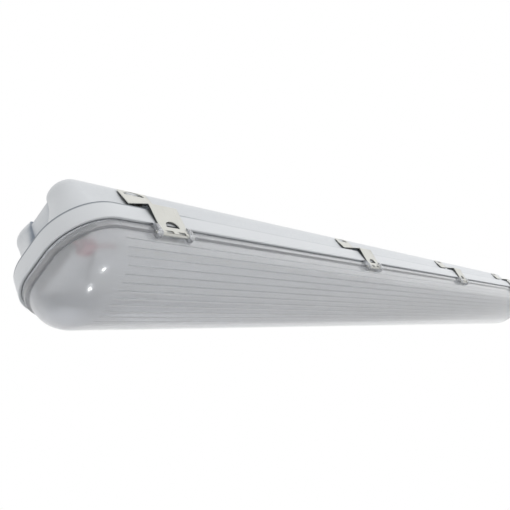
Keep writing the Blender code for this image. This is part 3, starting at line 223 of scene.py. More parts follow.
CHANNEL_UP = ROOF_UP - 0.005
CHANNEL_END_LOW = 0.026
CHANNEL_END_HIGH = 0.038
NOSE_ROUNDING_LOW = 0.0028
NOSE_ROUNDING_HIGH = 0.012
NOSE_ROUNDING_BEND = 2.0
NOSE_REACH_SHARE = 1.3
NOSE_LEAST_REACH = 0.0003
NOSE_ARC_START = math.radians(5)
NOSE_STEPS = 12
CHANNEL_OVERLAP = 0.001
CORNER_STEPS = 36
WALL_STEPS = 12
ROUND_STEPS = 6
MERGE = 0.000002
SMOOTH_ANGLE = math.radians(32)


def up(height):
    """World height of a point that lies this far above the rim."""
    return RIM_Z + height


def outline(half_length, half_width, corner, z, steps=CORNER_STEPS):
    """A rounded rectangle seen from above, anticlockwise."""
    corner = min(corner, half_width)
    points = []
    for quarter, (side_x, side_y) in enumerate(((1, -1), (1, 1), (-1, 1), (-1, -1))):
        middle_x = side_x * (half_length - corner)
        middle_y = side_y * (half_width - corner)
        for step in range(steps + 1):
            angle = (quarter - 1 + step / steps) * math.pi / 2
            points.append((middle_x + corner * math.cos(angle), middle_y + corner * math.sin(angle), z))
    return points


def rim_ring(end_inset, side_inset, height):
    """The rim's outline drawn in by these insets, at a height above the rim."""
    return outline(HALF_LENGTH - end_inset, HALF_WIDTH - side_inset, RIM_CORNER - side_inset, up(height))


def rounded(corners, radii, steps=ROUND_STEPS):
    """A line of (inset, height) corners with each inner corner rounded by an arc of its own radius."""
    line = [corners[0]]
    for before, corner, after, radius in zip(corners, corners[1:], corners[2:], radii):
        if not radius:
            line.append(corner)
            continue
        here = Vector(corner)
        back = (Vector(before) - here).normalized()
        on = (Vector(after) - here).normalized()
        half = back.angle(on) / 2
        reach = radius / math.tan(half)
        centre = here + (back + on).normalized() * (radius / math.sin(half))
        first = here + back * reach - centre
        turn = math.pi - 2 * half
        side = 1 if back.cross(on) < 0 else -1
        for step in range(steps + 1):
            swing = Matrix.Rotation(side * turn * step / steps, 2)
            line.append(tuple(centre + swing @ first))
    line.append(corners[-1])
    return line


def closed_mesh(form, name):
    """The finished mesh: doubles merged, faces outwards, smooth but for its sharp edges."""
    bmesh.ops.remove_doubles(form, verts=form.verts, dist=MERGE)
    bmesh.ops.dissolve_degenerate(form, edges=form.edges, dist=MERGE)
    bmesh.ops.recalc_face_normals(form, faces=form.faces)
    mesh = bpy.data.meshes.new(name)
    form.to_mesh(mesh)
    form.free()
    mesh.shade_smooth()
    mesh.set_sharp_from_angle(angle=SMOOTH_ANGLE)
    return mesh


def bridge(form, rows):
    """Faces between neighbouring rows of corners that run round."""
    for lower, upper in zip(rows, rows[1:]):
        for index in range(len(lower)):
            after = (index + 1) % len(lower)
            form.faces.new((lower[index], lower[after], upper[after], upper[index]))

def skin(name, rings):
    """Joins rings of equal point counts and closes both ends."""
    form = bmesh.new()
    rows = [[form.verts.new(point) for point in ring] for ring in rings]
    bridge(form, rows)
    form.faces.new(rows[0])
    form.faces.new(rows[-1])
    return closed_mesh(form, name)

def combine(piece, tools, operation):
    """Joins other closed meshes to a piece, or cuts them from it, and keeps the plain result."""
    form = bmesh.new()
    for tool in tools:
        form.from_mesh(tool)
    joined = bpy.data.meshes.new("tool")
    form.to_mesh(joined)
    form.free()
    tool_piece = add_piece("tool", joined)
    step = piece.modifiers.new("combine", "BOOLEAN")
    step.object = tool_piece
    step.operation = operation
    settle(piece)
    bpy.data.objects.remove(tool_piece, do_unlink=True)


def settle(piece):
    """Turns a piece's modifiers into its plain mesh."""
    bpy.context.view_layer.update()
    result = bpy.data.meshes.new_from_object(piece.evaluated_get(bpy.context.evaluated_depsgraph_get()))
    piece.modifiers.clear()
    piece.data = result
    result.shade_smooth()
    result.set_sharp_from_angle(angle=SMOOTH_ANGLE)


def block(low, high, rounding=0.0, along=None, segments=4):
    """A box between two corners, with all edges rounded or only those that run along one axis."""
    form = bmesh.new()
    size = Vector(high) - Vector(low)
    middle = (Vector(high) + Vector(low)) / 2
    bmesh.ops.create_cube(form, size=1.0, matrix=Matrix.Translation(middle) @ Matrix.Diagonal((*size, 1.0)))
    if rounding:
        edges = form.edges[:]
        if along is not None:
            edges = [e for e in edges if abs((e.verts[0].co - e.verts[1].co)[along]) > MERGE]
        bmesh.ops.bevel(form, geom=edges, offset=rounding, segments=segments, affect="EDGES", profile=0.5)
    return closed_mesh(form, "block")


def rod(radius, start, end, sides=32):
    """A round rod between two points."""
    form = bmesh.new()
    axis = Vector(end) - Vector(start)
    turn = axis.to_track_quat("Z", "Y").to_matrix().to_4x4()
    bmesh.ops.create_cone(form, cap_ends=True, segments=sides, radius1=radius, radius2=radius, depth=axis.length,
                          matrix=Matrix.Translation((Vector(start) + Vector(end)) / 2) @ turn)
    return closed_mesh(form, "rod")

def drawn(name, points, sweep):
    """A flat outline drawn out along a vector."""
    form = bmesh.new()
    face = form.faces.new([form.verts.new(point) for point in points])
    swept = bmesh.ops.extrude_face_region(form, geom=[face])["geom"]
    moved = [part for part in swept if isinstance(part, bmesh.types.BMVert)]
    bmesh.ops.translate(form, verts=moved, vec=sweep)
    return closed_mesh(form, name)

def prism(points, low, high):
    """A flat outline of (y, z) points drawn out along X."""
    return drawn("prism", [(low, y, z) for y, z in points], (high - low, 0.0, 0.0))

def between(low, high, share):
    """The value that lies a share of the way from low to high."""
    return low + (high - low) * share


def wall_insets(height):
    """End inset, side inset and plan corner of the wall's outer face, which leans in above the ledge."""
    left = 1 - (height - BAND_HEIGHT) / (WALL_TOP_UP - BAND_HEIGHT)
    end_share = 1 - left ** WALL_END_BEND
    side_share = 1 - left ** WALL_SIDE_BEND
    corner_share = 1 - left ** WALL_CORNER_BEND
    return (between(GROOVE_INNER_END, WALL_TOP_END, end_share),
            between(GROOVE_INNER_SIDE, WALL_TOP_SIDE, side_share),
            between(RIM_CORNER - GROOVE_INNER_SIDE, WALL_TOP_CORNER, corner_share))


def wall_ring(height, inward, rise=0.0):
    """The wall's outline at a height, drawn in and raised by these amounts."""
    end, side, corner = wall_insets(height)
    return outline(HALF_LENGTH - end - inward, HALF_WIDTH - side - inward, corner - inward, up(height + rise))


def roof_steps(rounding):
    """How far the rounded edge under the roof has come in and up, step by step."""
    angles = [step / (2 * ROUND_STEPS) * math.pi / 2 for step in range(1, 2 * ROUND_STEPS + 1)]
    return [(rounding * (1 - math.cos(angle)), rounding * math.sin(angle)) for angle in angles]


wall_heights = [between(BAND_HEIGHT, WALL_TOP_UP, step / WALL_STEPS) for step in range(WALL_STEPS + 1)]


def band_ring(inset, height):
    """An outline of the band's outer face, which leans in a little."""
    share = height / BAND_HEIGHT
    return rim_ring(BAND_END_DRAFT * share + inset, BAND_SIDE_DRAFT * share + inset, height)


def shell_rings():
    """The shell's rings from the inside of the roof, round the groove and the band, to the roof's top."""
    inner = BODY_WALL * WALL_SPREAD
    inside_roof = roof_steps(ROOF_ROUNDING - BODY_WALL)[::-1]
    rings = [wall_ring(WALL_TOP_UP, inner + inset, rise) for inset, rise in inside_roof]
    rings += [wall_ring(height, inner) for height in wall_heights[::-1]]
    rings += [
        rim_ring(GROOVE_INNER_END + BODY_WALL, GROOVE_INNER_SIDE + BODY_WALL, GROOVE_LIP_UP),
        rim_ring(GROOVE_INNER_END, GROOVE_INNER_SIDE, GROOVE_LIP_UP),
        rim_ring(GROOVE_INNER_END, GROOVE_INNER_SIDE, GROOVE_TOP_UP),
        rim_ring(BAND_END_DRAFT + BAND_WALL, BAND_SIDE_DRAFT + BAND_WALL, GROOVE_TOP_UP),
        rim_ring(BAND_WALL, BAND_WALL, 0.0),
    ]
    edge = LEDGE_FILLET / 3
    rings += [band_ring(inset, height) for inset, height in rounded(
        [(BAND_WALL / 2, 0.0), (0.0, 0.0), (0.0, BAND_HEIGHT / 2)], [edge])]
    rings += [band_ring(inset, height) for inset, height in rounded(
        [(0.0, BAND_HEIGHT / 2), (0.0, BAND_HEIGHT), (GROOVE_INNER_SIDE, BAND_HEIGHT)], [LEDGE_FILLET])[1:-1]]
    rings += [wall_ring(height, 0.0) for height in wall_heights]
    return rings + [wall_ring(WALL_TOP_UP, inset, rise) for inset, rise in roof_steps(ROOF_ROUNDING)]


def recess_line(height, tip_inset, inward):
    """Plan line (x, y) from the set-back wall to a nose's tip, moved into the body by an amount."""
    share = (height - BAND_HEIGHT) / (CHANNEL_UP - BAND_HEIGHT)
    wall = HALF_LENGTH - between(CHANNEL_END_LOW, CHANNEL_END_HIGH, share)
    rise = min(1.0, (height - BAND_HEIGHT) / (WALL_TOP_UP - BAND_HEIGHT)) ** NOSE_ROUNDING_BEND
    rounding = between(NOSE_ROUNDING_LOW, NOSE_ROUNDING_HIGH, rise)
    tip = HALF_LENGTH - tip_inset
    reach = max(NOSE_LEAST_REACH, min(rounding, NOSE_REACH_SHARE * (tip - wall)))
    centre_x = tip - reach
    centre_y = CHANNEL_WIDTH / 2 + rounding
    reach = max(NOSE_LEAST_REACH, reach - inward)
    breadth = rounding - inward
    wall = min(wall - inward, centre_x + reach * math.cos(2 * NOSE_ARC_START))
    first = math.acos(max(0.0, (wall - centre_x) / reach))
    line = [(wall, centre_y - breadth * math.sin(first))]
    for step in range(NOSE_STEPS + 1):
        angle = between(first, NOSE_ARC_START, step / NOSE_STEPS)
        line.append((centre_x + reach * math.cos(angle), centre_y - breadth * math.sin(angle)))
    return line


def recess(end, inward, outer_inset, low, high):
    """The space between the noses at one end, or with inward set the material that lines it."""
    stations = [(height, wall_insets(height)[0]) for height in wall_heights]
    stations += [(WALL_TOP_UP + rise, WALL_TOP_END + inset) for inset, rise in roof_steps(ROOF_ROUNDING)]
    stations = [station for station in stations if station[0] < high - MERGE]
    levels = [low] + [height for height, _ in stations[1:]] + [high]
    rings = []
    for (height, tip_inset), level in zip(stations + stations[-1:], levels):
        line = recess_line(height, tip_inset, inward)
        half = [*line, (HALF_LENGTH - tip_inset - outer_inset, line[-1][1])]
        rings.append([(end * x, y, up(level)) for x, y in half + [(x, -y) for x, y in half[::-1]]])
    return skin("recess", rings)


def channel(inward):
    """The channel along the roof and the two end recesses; with inward set, what lines them."""
    if inward:
        low, high = CHANNEL_UP - BODY_WALL, ROOF_UP - BODY_WALL / 2
        half_width = CHANNEL_WIDTH / 2 + BODY_WALL
        foot, outer_inset, overlap = GROOVE_TOP_UP, BODY_WALL / 2, -CHANNEL_OVERLAP
    else:
        low, high = CHANNEL_UP, ROOF_UP + CHANNEL_OVERLAP
        half_width = CHANNEL_WIDTH / 2
        foot, outer_inset, overlap = BAND_HEIGHT, -CHANNEL_OVERLAP, CHANNEL_OVERLAP
    half_length = HALF_LENGTH - CHANNEL_END_HIGH + overlap
    trough = block((-half_length, -half_width, up(low)), (half_length, half_width, up(high)))
    return [trough] + [recess(end, inward, outer_inset, foot, high) for end in (-1, 1)]


LATCHES_PER_SIDE = 4
SIDES = {"near": -1, "far": 1}
latch_places = []
for side_name, side in SIDES.items():
    for number in range(1, LATCHES_PER_SIDE + 1):
        low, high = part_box(f"latch_{side_name}_{number}")
        latch_places.append((f"{side_name}_{number}", side, (low[0] + high[0]) / 2))

CATCH_WIDTH = 0.022
CATCH_POINTS = ((0.0017, 0.0259), (0.0065, 0.0308))
GLAND_PAD_WIDTH = 0.032
GLAND_PAD_TOP_UP = 0.056
GLAND_PAD_FACE_INSET = 0.009
GLAND_PAD_DEPTH = 0.034
GLAND_PAD_ROUNDING = 0.004
GLAND_HOLE_RADIUS = 0.0102
BOSS_RADIUS = 0.0045
LUG_REACH = 0.0011
LUG_HEIGHT = 0.0012
LUG_UP = 0.0684

body = add_piece("moulded_body", skin("moulded_body", shell_rings()))
for form in channel(BODY_WALL):
    combine(body, [form], "UNION")
for form in channel(0.0):
    combine(body, [form], "DIFFERENCE")
pad_face = HALF_LENGTH - GLAND_PAD_FACE_INSET
gland_up = GLAND_PAD_TOP_UP - GLAND_PAD_WIDTH / 2
half_pad = GLAND_PAD_WIDTH / 2
combine(body, [block((pad_face - GLAND_PAD_DEPTH, -half_pad, up(BAND_HEIGHT - LEDGE_WALL / 2)),
                     (pad_face, half_pad, up(GLAND_PAD_TOP_UP)), GLAND_PAD_ROUNDING, along=0)], "UNION")
half_hollow = half_pad - BODY_WALL
combine(body, [block((pad_face - GLAND_PAD_DEPTH + BODY_WALL, -half_hollow, up(BAND_HEIGHT)),
                     (pad_face - BODY_WALL, half_hollow, up(GLAND_PAD_TOP_UP - BODY_WALL)),
                     GLAND_PAD_ROUNDING - BODY_WALL, along=0)], "DIFFERENCE")
combine(body, [rod(GLAND_HOLE_RADIUS, (pad_face - 2 * BODY_WALL, 0.0, up(gland_up)),
                   (pad_face + BODY_WALL, 0.0, up(gland_up)), 48)], "DIFFERENCE")

raised = []
for _, side, x in latch_places:
    foot = BAND_HEIGHT - LEDGE_WALL / 2
    top = CATCH_POINTS[1][1]
    roots = [HALF_WIDTH - wall_insets(height)[1] - BODY_WALL / 2 for height in (BAND_HEIGHT, top)]
    profile = [(roots[0], foot), (HALF_WIDTH - CATCH_POINTS[0][0], foot)]
    profile += [(HALF_WIDTH - inset, height) for inset, height in CATCH_POINTS]
    profile.append((roots[1], top))
    raised.append(prism([(side * out, up(height)) for out, height in profile],
                        x - CATCH_WIDTH / 2, x + CATCH_WIDTH / 2))
for bracket in ("mounting_bracket_1", "mounting_bracket_2"):
    low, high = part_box(bracket)
    for side in SIDES.values():
        edges = sorted((side * (CHANNEL_WIDTH / 2 - LUG_REACH), side * (CHANNEL_WIDTH / 2 + BODY_WALL / 2)))
        raised.append(block((low[0], edges[0], up(LUG_UP)), (high[0], edges[1], up(LUG_UP + LUG_HEIGHT))))
BOSS_LOW_UP = 0.0093
PILOT_RADIUS = 0.0018
pilots = []
for number in range(1, 5):
    low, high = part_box(f"tray_screw_{number}")
    x = (low[0] + high[0]) / 2
    raised.append(rod(BOSS_RADIUS, (x, 0.0, up(BOSS_LOW_UP)), (x, 0.0, up(CHANNEL_UP - BODY_WALL / 2))))
    pilots.append(rod(PILOT_RADIUS, (x, 0.0, low[2]), (x, 0.0, high[2] + BODY_WALL / 2)))
combine(body, raised, "UNION")
combine(body, pilots, "DIFFERENCE")

# The finish of moulded polycarbonate: a fine spark-eroded grain that spreads highlights, and very faint
# cloudy changes of tone where the melt flowed. The grain is drawn at 0.9 mm, coarser than the real 0.1 mm.
# Painted shade darkens the inner corners, the walls between the noses and where they rise behind the ledge,
# and most of all the narrow gaps behind the latches. A thin grey painted shadow line runs round the band's top
# edge under the ledge, fainter along the straight sides.
LEDGE_SHADOW_WIDTH = 0.0030
LEDGE_SHADOW_FADE = 0.0003
LEDGE_SHADOW_FULL_FROM = 0.66
LEDGE_SHADOW_FAINT_TO = 0.60
LEDGE_SHADOW_FAINT = 0.25
LEDGE_SHADOW_EDGE = 0.0001
# For each painted shade: its reach into a corner, whether only the body's own walls count, the open share of
# the view at which it is darkest and at which it ends, and its colour.
PAINTED_CORNER_SHADE = ((0.060, True, 0.74, 0.94, "#8993A0"), (0.012, False, 0.30, 0.68, "#6C7074"))
ROUNDED_EDGE = 0.0009
grey_plastic, tree, shader = new_finish("moulded_grey_polycarbonate")
place = node(tree, "ShaderNodeTexCoord").outputs["Object"]
flow = node(tree, "ShaderNodeTexNoise", {"Vector": place, "Scale": 9.0, "Detail": 2.0})
tone = node(tree, "ShaderNodeMix", {"Factor": flow.outputs["Fac"], "A": linear("#DADDE0"), "B": linear("#E0E3E6")},
            data_type="RGBA")
# Painted shade: the tone is mixed towards each shade colour where the occlusion test finds the surface hemmed in.
for reach, own, darkest_at, unshaded_at, colour in PAINTED_CORNER_SHADE:
    corners = node(tree, "ShaderNodeAmbientOcclusion", {"Distance": reach}, samples=16, only_local=own)
    share = node(tree, "ShaderNodeMapRange", {"Value": corners.outputs["AO"], "From Min": darkest_at, "From Max": unshaded_at})
    tone = node(tree, "ShaderNodeMix", {"Factor": share.outputs["Result"], "A": linear(colour),
                                        "B": tone.outputs["Result"]}, data_type="RGBA")
# Painted shadow: a thin grey line on the band's rounded top edge, under the ledge, fainter along the straight
# sides.
spot = node(tree, "ShaderNodeSeparateXYZ", {"Vector": place})
edge_z = up(BAND_HEIGHT) - LEDGE_SHADOW_EDGE
begun = node(tree, "ShaderNodeMapRange", {"Value": spot.outputs["Z"], "From Min": edge_z - LEDGE_SHADOW_WIDTH,
                                          "From Max": edge_z - LEDGE_SHADOW_WIDTH / 2})
left = node(tree, "ShaderNodeMapRange", {"Value": spot.outputs["Z"], "From Min": edge_z - LEDGE_SHADOW_FADE,
                                         "From Max": edge_z, "To Min": 1.0, "To Max": 0.0})
along = node(tree, "ShaderNodeMath", {0: spot.outputs["X"]}, operation="ABSOLUTE")
strong = node(tree, "ShaderNodeMapRange", {"Value": along.outputs[0], "From Min": LEDGE_SHADOW_FAINT_TO,
                                           "From Max": LEDGE_SHADOW_FULL_FROM, "To Min": LEDGE_SHADOW_FAINT})
line = node(tree, "ShaderNodeMath", {0: begun.outputs["Result"], 1: left.outputs["Result"]}, operation="MULTIPLY")
line = node(tree, "ShaderNodeMath", {0: line.outputs[0], 1: strong.outputs["Result"]}, operation="MULTIPLY")
tone = node(tree, "ShaderNodeMix", {"Factor": line.outputs[0], "A": tone.outputs["Result"],
                                    "B": linear("#747C84")}, data_type="RGBA")
grain = node(tree, "ShaderNodeTexNoise", {"Vector": place, "Scale": 1100.0, "Detail": 2.0})
gloss = node(tree, "ShaderNodeMapRange", {"Value": grain.outputs["Fac"], "To Min": 0.34, "To Max": 0.46})
edges = node(tree, "ShaderNodeBevel", {"Radius": ROUNDED_EDGE}, samples=6)
relief = node(tree, "ShaderNodeBump", {"Height": grain.outputs["Fac"], "Strength": 0.06, "Distance": 0.0002,
                                       "Normal": edges.outputs["Normal"]})
set_inputs(tree, shader, {"Base Color": tone.outputs["Result"], "Roughness": gloss.outputs["Result"],
                          "Normal": relief.outputs["Normal"], "IOR": 1.58})
paint(body.data, grey_plastic)
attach(body, "fixture")
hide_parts("housing")

# Gasket: a bead of grey polyurethane foam poured into the groove, where it set with a slightly pitted skin.
# Its cells are drawn 1.2 mm across, coarser than the real 0.3 mm, so that they show.
poured_foam, tree, shader = new_finish("poured_polyurethane_foam")
place = node(tree, "ShaderNodeTexCoord").outputs["Object"]
cells = node(tree, "ShaderNodeTexVoronoi", {"Vector": place, "Scale": 800.0})
tone = node(tree, "ShaderNodeMix", {"Factor": cells.outputs["Distance"], "A": linear("#8C8E90"),
                                    "B": linear("#A9ABAD")}, data_type="RGBA")
relief = node(tree, "ShaderNodeBump", {"Height": cells.outputs["Distance"], "Strength": 0.3, "Distance": 0.0003})
set_inputs(tree, shader, {"Base Color": tone.outputs["Result"], "Normal": relief.outputs["Normal"],
                          "Roughness": 0.9})
paint(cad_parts["gasket"].data, poured_foam)

# Cover: one moulding of clear polycarbonate, frosted, with a tongue that presses the gasket, a flange under the
# band, a long bowl with plain domed ends, and ribs along the inside of the bowl that spread the light.
# The ribs are Geometry Nodes: they push the inner skin in by a row of rounded waves that follow its section.
cover_low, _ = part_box("diffuser")
COVER_WALL = 0.0020
TONGUE_THICKNESS = 0.0027
TONGUE_PLAY = 0.0009
TONGUE_TOP_UP = 0.0119
COVER_GAP = 0.0005
FLANGE_INSET = 0.0028
FLANGE_HEIGHT = 0.0060
FLANGE_FILLET = 0.0008
NECK_UP = -0.008
NECK_INSET = 0.0055
NECK_ROUNDING = 0.0016
BULGE_DEPTH = up(NECK_UP) - cover_low[2]
DOME_LENGTH = 0.040
SQUARENESS = 2.2
BOTTOM_ANGLE = math.radians(88.5)
RIB_PITCH = 0.0080
RIB_HALF_WIDTH = 0.0009
RIB_HEIGHT = 0.0004
RIB_HALF_LENGTH = 0.7335
RIB_RUN_OUT = 0.0020
FINE_STEPS = 8000
LEAST_LENGTH = 0.0005


def bulge_point(angle, wall):
    """Half width and height of the bowl's section at one angle of its superellipse."""
    share = math.cos(angle) ** (2 / SQUARENESS)
    fall = math.sin(angle) ** (2 / SQUARENESS)
    return share, (HALF_WIDTH - NECK_INSET - wall) * share, NECK_UP - (BULGE_DEPTH - wall) * fall


def bulge_angles(wall):
    """Angles with the distance round the section that each lies at: close together on the ribs, few between."""
    fine = [BOTTOM_ANGLE * index / FINE_STEPS for index in range(FINE_STEPS + 1)]
    spots = [bulge_point(angle, wall)[1:] for angle in fine]
    lengths = [0.0]
    for before, after in zip(spots, spots[1:]):
        lengths.append(lengths[-1] + math.dist(before, after))
    wanted = []
    for rib in range(int(lengths[-1] / RIB_PITCH) + 2):
        for share in (-1.0, -0.5, 0.0, 0.5, 1.0):
            wanted.append(rib * RIB_PITCH + share * RIB_HALF_WIDTH)
        wanted += [(rib + share) * RIB_PITCH for share in (0.25, 0.5, 0.75)]
    chosen = []
    index = 0
    for length in wanted:
        if LEAST_LENGTH < length < lengths[-1]:
            while lengths[index] < length:
                index += 1
            chosen.append((fine[index], length))
    return chosen + [(fine[-1], lengths[-1])]


def with_rib_ends(ring):
    """Adds points on the two long sides of a ring, where the ribs start and reach their full height."""
    stops = [RIB_HALF_LENGTH + RIB_RUN_OUT / 4, RIB_HALF_LENGTH, RIB_HALF_LENGTH - RIB_RUN_OUT / 2,
             RIB_HALF_LENGTH - RIB_RUN_OUT]
    half = 2 * (CORNER_STEPS + 1)
    added = []
    for sense, (_, y, z) in ((1, ring[half - 1]), (-1, ring[-1])):
        added.append([(sense * x, y, z) for x in stops] + [(-sense * x, y, z) for x in reversed(stops)])
    return ring[:half] + added[0] + ring[half:] + added[1]

def bulge_ring(angle, wall):
    share, half_width, height = bulge_point(angle, wall)
    end_inset = NECK_INSET + wall + DOME_LENGTH * (1 - share)
    corner = (RIM_CORNER - NECK_INSET - wall) * share
    return outline(HALF_LENGTH - end_inset, half_width, corner, up(height))


tongue_in_end = GROOVE_INNER_END - TONGUE_PLAY
tongue_in_side = GROOVE_INNER_SIDE - TONGUE_PLAY
tongue_out_end = tongue_in_end - TONGUE_THICKNESS
tongue_out_side = tongue_in_side - TONGUE_THICKNESS
flange_low = -COVER_GAP - FLANGE_HEIGHT
inner_neck = NECK_INSET + COVER_WALL
inner_spots = bulge_angles(COVER_WALL)
outer_spots = bulge_angles(0.0)
cover_rings = [bulge_ring(angle, COVER_WALL) for angle, _ in reversed(inner_spots)]
across = [length for _, length in reversed(inner_spots)]
middle_rings = [
    rim_ring(inner_neck, inner_neck, NECK_UP),
    rim_ring((inner_neck + tongue_in_end) / 2, (inner_neck + tongue_in_side) / 2, (NECK_UP - COVER_GAP) / 2),
    rim_ring(tongue_in_end, tongue_in_side, -COVER_GAP),
    rim_ring(tongue_in_end, tongue_in_side, TONGUE_TOP_UP - FLANGE_FILLET),
    rim_ring(tongue_in_end - FLANGE_FILLET, tongue_in_side - FLANGE_FILLET, TONGUE_TOP_UP),
    rim_ring(tongue_out_end + FLANGE_FILLET, tongue_out_side + FLANGE_FILLET, TONGUE_TOP_UP),
    rim_ring(tongue_out_end, tongue_out_side, TONGUE_TOP_UP - FLANGE_FILLET),
    rim_ring(tongue_out_end, tongue_out_side, -COVER_GAP),
]
for inset, height in rounded([(FLANGE_INSET + 2 * FLANGE_FILLET, -COVER_GAP), (FLANGE_INSET, -COVER_GAP),
                              (FLANGE_INSET, flange_low - FLANGE_FILLET),
                              (NECK_INSET, flange_low - FLANGE_FILLET - NECK_ROUNDING / 2),
                              (NECK_INSET, NECK_UP - NECK_ROUNDING)],
                             [FLANGE_FILLET / 2, FLANGE_FILLET, 0.0])[:-1]:
    middle_rings.append(rim_ring(inset, inset, height))
cover_rings += middle_rings
across += [RIB_PITCH / 2] * len(middle_rings)
cover_rings += [bulge_ring(angle, 0.0) for angle, _ in outer_spots]
across += [RIB_PITCH / 2] * len(outer_spots)

cover_form = bmesh.new()
across_layer = cover_form.verts.layers.float.new("across")
cover_rows = []
for ring, length in zip(cover_rings, across):
    row = [cover_form.verts.new(point) for point in with_rib_ends(ring)]
    for corner in row:
        corner[across_layer] = length
    cover_rows.append(row)
bridge(cover_form, cover_rows)
cover_form.faces.new(cover_rows[0])
cover_form.faces.new(cover_rows[-1])
cover = add_piece("clear_cover", closed_mesh(cover_form, "clear_cover"))


def new_rule(name, inputs):
    """A Geometry Nodes tree with named inputs, and the sockets that give them."""
    tree = bpy.data.node_groups.new(name, "GeometryNodeTree")
    tree.interface.new_socket("Geometry", in_out="INPUT", socket_type="NodeSocketGeometry")
    for label, kind in inputs:
        tree.interface.new_socket(label, in_out="INPUT", socket_type=kind)
    tree.interface.new_socket("Geometry", in_out="OUTPUT", socket_type="NodeSocketGeometry")
    return tree, node(tree, "NodeGroupInput").outputs


def end_rule(tree, geometry, finish):
    """Ends a tree in Realize Instances and Set Material."""
    real = node(tree, "GeometryNodeRealizeInstances", {"Geometry": geometry})
    painted = node(tree, "GeometryNodeSetMaterial", {"Geometry": real.outputs["Geometry"], "Material": finish})
    node(tree, "NodeGroupOutput", {"Geometry": painted.outputs["Geometry"]})


def run_rule(piece, tree, values):
    """Runs a tree on a piece with its inputs set, and keeps the plain mesh."""
    rule = piece.modifiers.new("rule", "NODES")
    rule.node_group = tree
    for item in tree.interface.items_tree:
        if item.item_type == "SOCKET" and item.in_out == "INPUT" and item.name in values:
            rule[item.identifier] = values[item.name]
    settle(piece)


RIB_SIZES = {"Half Pitch": RIB_PITCH / 2, "Half Width": RIB_HALF_WIDTH, "Height": RIB_HEIGHT,
             "Half Length": RIB_HALF_LENGTH, "Run Out": RIB_RUN_OUT}
ribs_rule, given = new_rule("cover_ribs", [(label, "NodeSocketFloat") for label in RIB_SIZES] + [
    ("Finish", "NodeSocketMaterial")])
distance = node(ribs_rule, "GeometryNodeInputNamedAttribute", {"Name": "across"}, data_type="FLOAT")
aside = node(ribs_rule, "ShaderNodeMath", {0: distance.outputs["Attribute"], 1: given["Half Pitch"]},
             operation="PINGPONG")
aside = node(ribs_rule, "ShaderNodeMath", {0: aside.outputs[0], 1: given["Half Width"]}, operation="DIVIDE",
             use_clamp=True)
wave = node(ribs_rule, "ShaderNodeMapRange", {"Value": aside.outputs[0], "To Min": 1.0, "To Max": 0.0},
            interpolation_type="SMOOTHSTEP")
spot = node(ribs_rule, "GeometryNodeInputPosition")
spot = node(ribs_rule, "ShaderNodeSeparateXYZ", {"Vector": spot.outputs["Position"]})
from_middle = node(ribs_rule, "ShaderNodeMath", {0: spot.outputs["X"]}, operation="ABSOLUTE")
to_end = node(ribs_rule, "ShaderNodeMath", {0: given["Half Length"], 1: from_middle.outputs[0]},
              operation="SUBTRACT")
share = node(ribs_rule, "ShaderNodeMath", {0: to_end.outputs[0], 1: given["Run Out"]}, operation="DIVIDE",
             use_clamp=True)
rise = node(ribs_rule, "ShaderNodeMath", {0: wave.outputs["Result"], 1: share.outputs[0]}, operation="MULTIPLY")
rise = node(ribs_rule, "ShaderNodeMath", {0: rise.outputs[0], 1: given["Height"]}, operation="MULTIPLY")
outward = node(ribs_rule, "GeometryNodeInputNormal")
push = node(ribs_rule, "ShaderNodeVectorMath", {"Vector": outward.outputs["Normal"], "Scale": rise.outputs[0]},
            operation="SCALE")
pushed = node(ribs_rule, "GeometryNodeSetPosition", {"Geometry": given["Geometry"],
                                                     "Offset": push.outputs["Vector"]})
end_rule(ribs_rule, pushed.outputs["Geometry"], given["Finish"])

# The cover's cheeks carry the latches' pins: two lugs beside each latch, with a hole through both.
LATCH_WIDTH = 0.038
PIN_RADIUS = 0.0013
PIN_OUT = HALF_WIDTH - 0.0010
PIN_UP = -0.0105
CHEEK_THICKNESS = 0.0050
CHEEK_PLAY = 0.0005
CHEEK_OUT = HALF_WIDTH + 0.0028
CHEEK_TOP_UP = -0.0012
CHEEK_LOW_UP = -0.0146
CHEEK_ROUNDING = 0.0030
CHEEK_ROOT = HALF_WIDTH - NECK_INSET - 0.0012
PIN_HOLE_PLAY = 0.0003
CHEEK_EDGE = 0.0004
EASED_ANGLE = math.radians(40)

def ease(piece, width, segments=2):
    """Rounds a piece's sharp edges and keeps the plain mesh."""
    easing = piece.modifiers.new("easing", "BEVEL")
    easing.width = width
    easing.segments = segments
    easing.limit_method = "ANGLE"
    easing.angle_limit = EASED_ANGLE
    settle(piece)

def take_mesh(piece):
    """The mesh of a piece that was there only to be worked on."""
    mesh = piece.data
    bpy.data.objects.remove(piece, do_unlink=True)
    return mesh

cheeks = []
pin_holes = []
for _, side, x in latch_places:
    edges = sorted((side * CHEEK_ROOT, side * CHEEK_OUT))
    inner = LATCH_WIDTH / 2 + CHEEK_PLAY
    for low, high in ((x - inner - CHEEK_THICKNESS, x - inner), (x + inner, x + inner + CHEEK_THICKNESS)):
        cheek = add_piece("cheek", block((low, edges[0], up(CHEEK_LOW_UP)), (high, edges[1], up(CHEEK_TOP_UP)),
                                         CHEEK_ROUNDING, along=0, segments=10))
        ease(cheek, CHEEK_EDGE, segments=3)
        cheeks.append(take_mesh(cheek))
        pin_holes.append(rod(PIN_RADIUS + PIN_HOLE_PLAY, (low - CHEEK_PLAY / 2, side * PIN_OUT, up(PIN_UP)),
                             (high + CHEEK_PLAY / 2, side * PIN_OUT, up(PIN_UP)), 24))
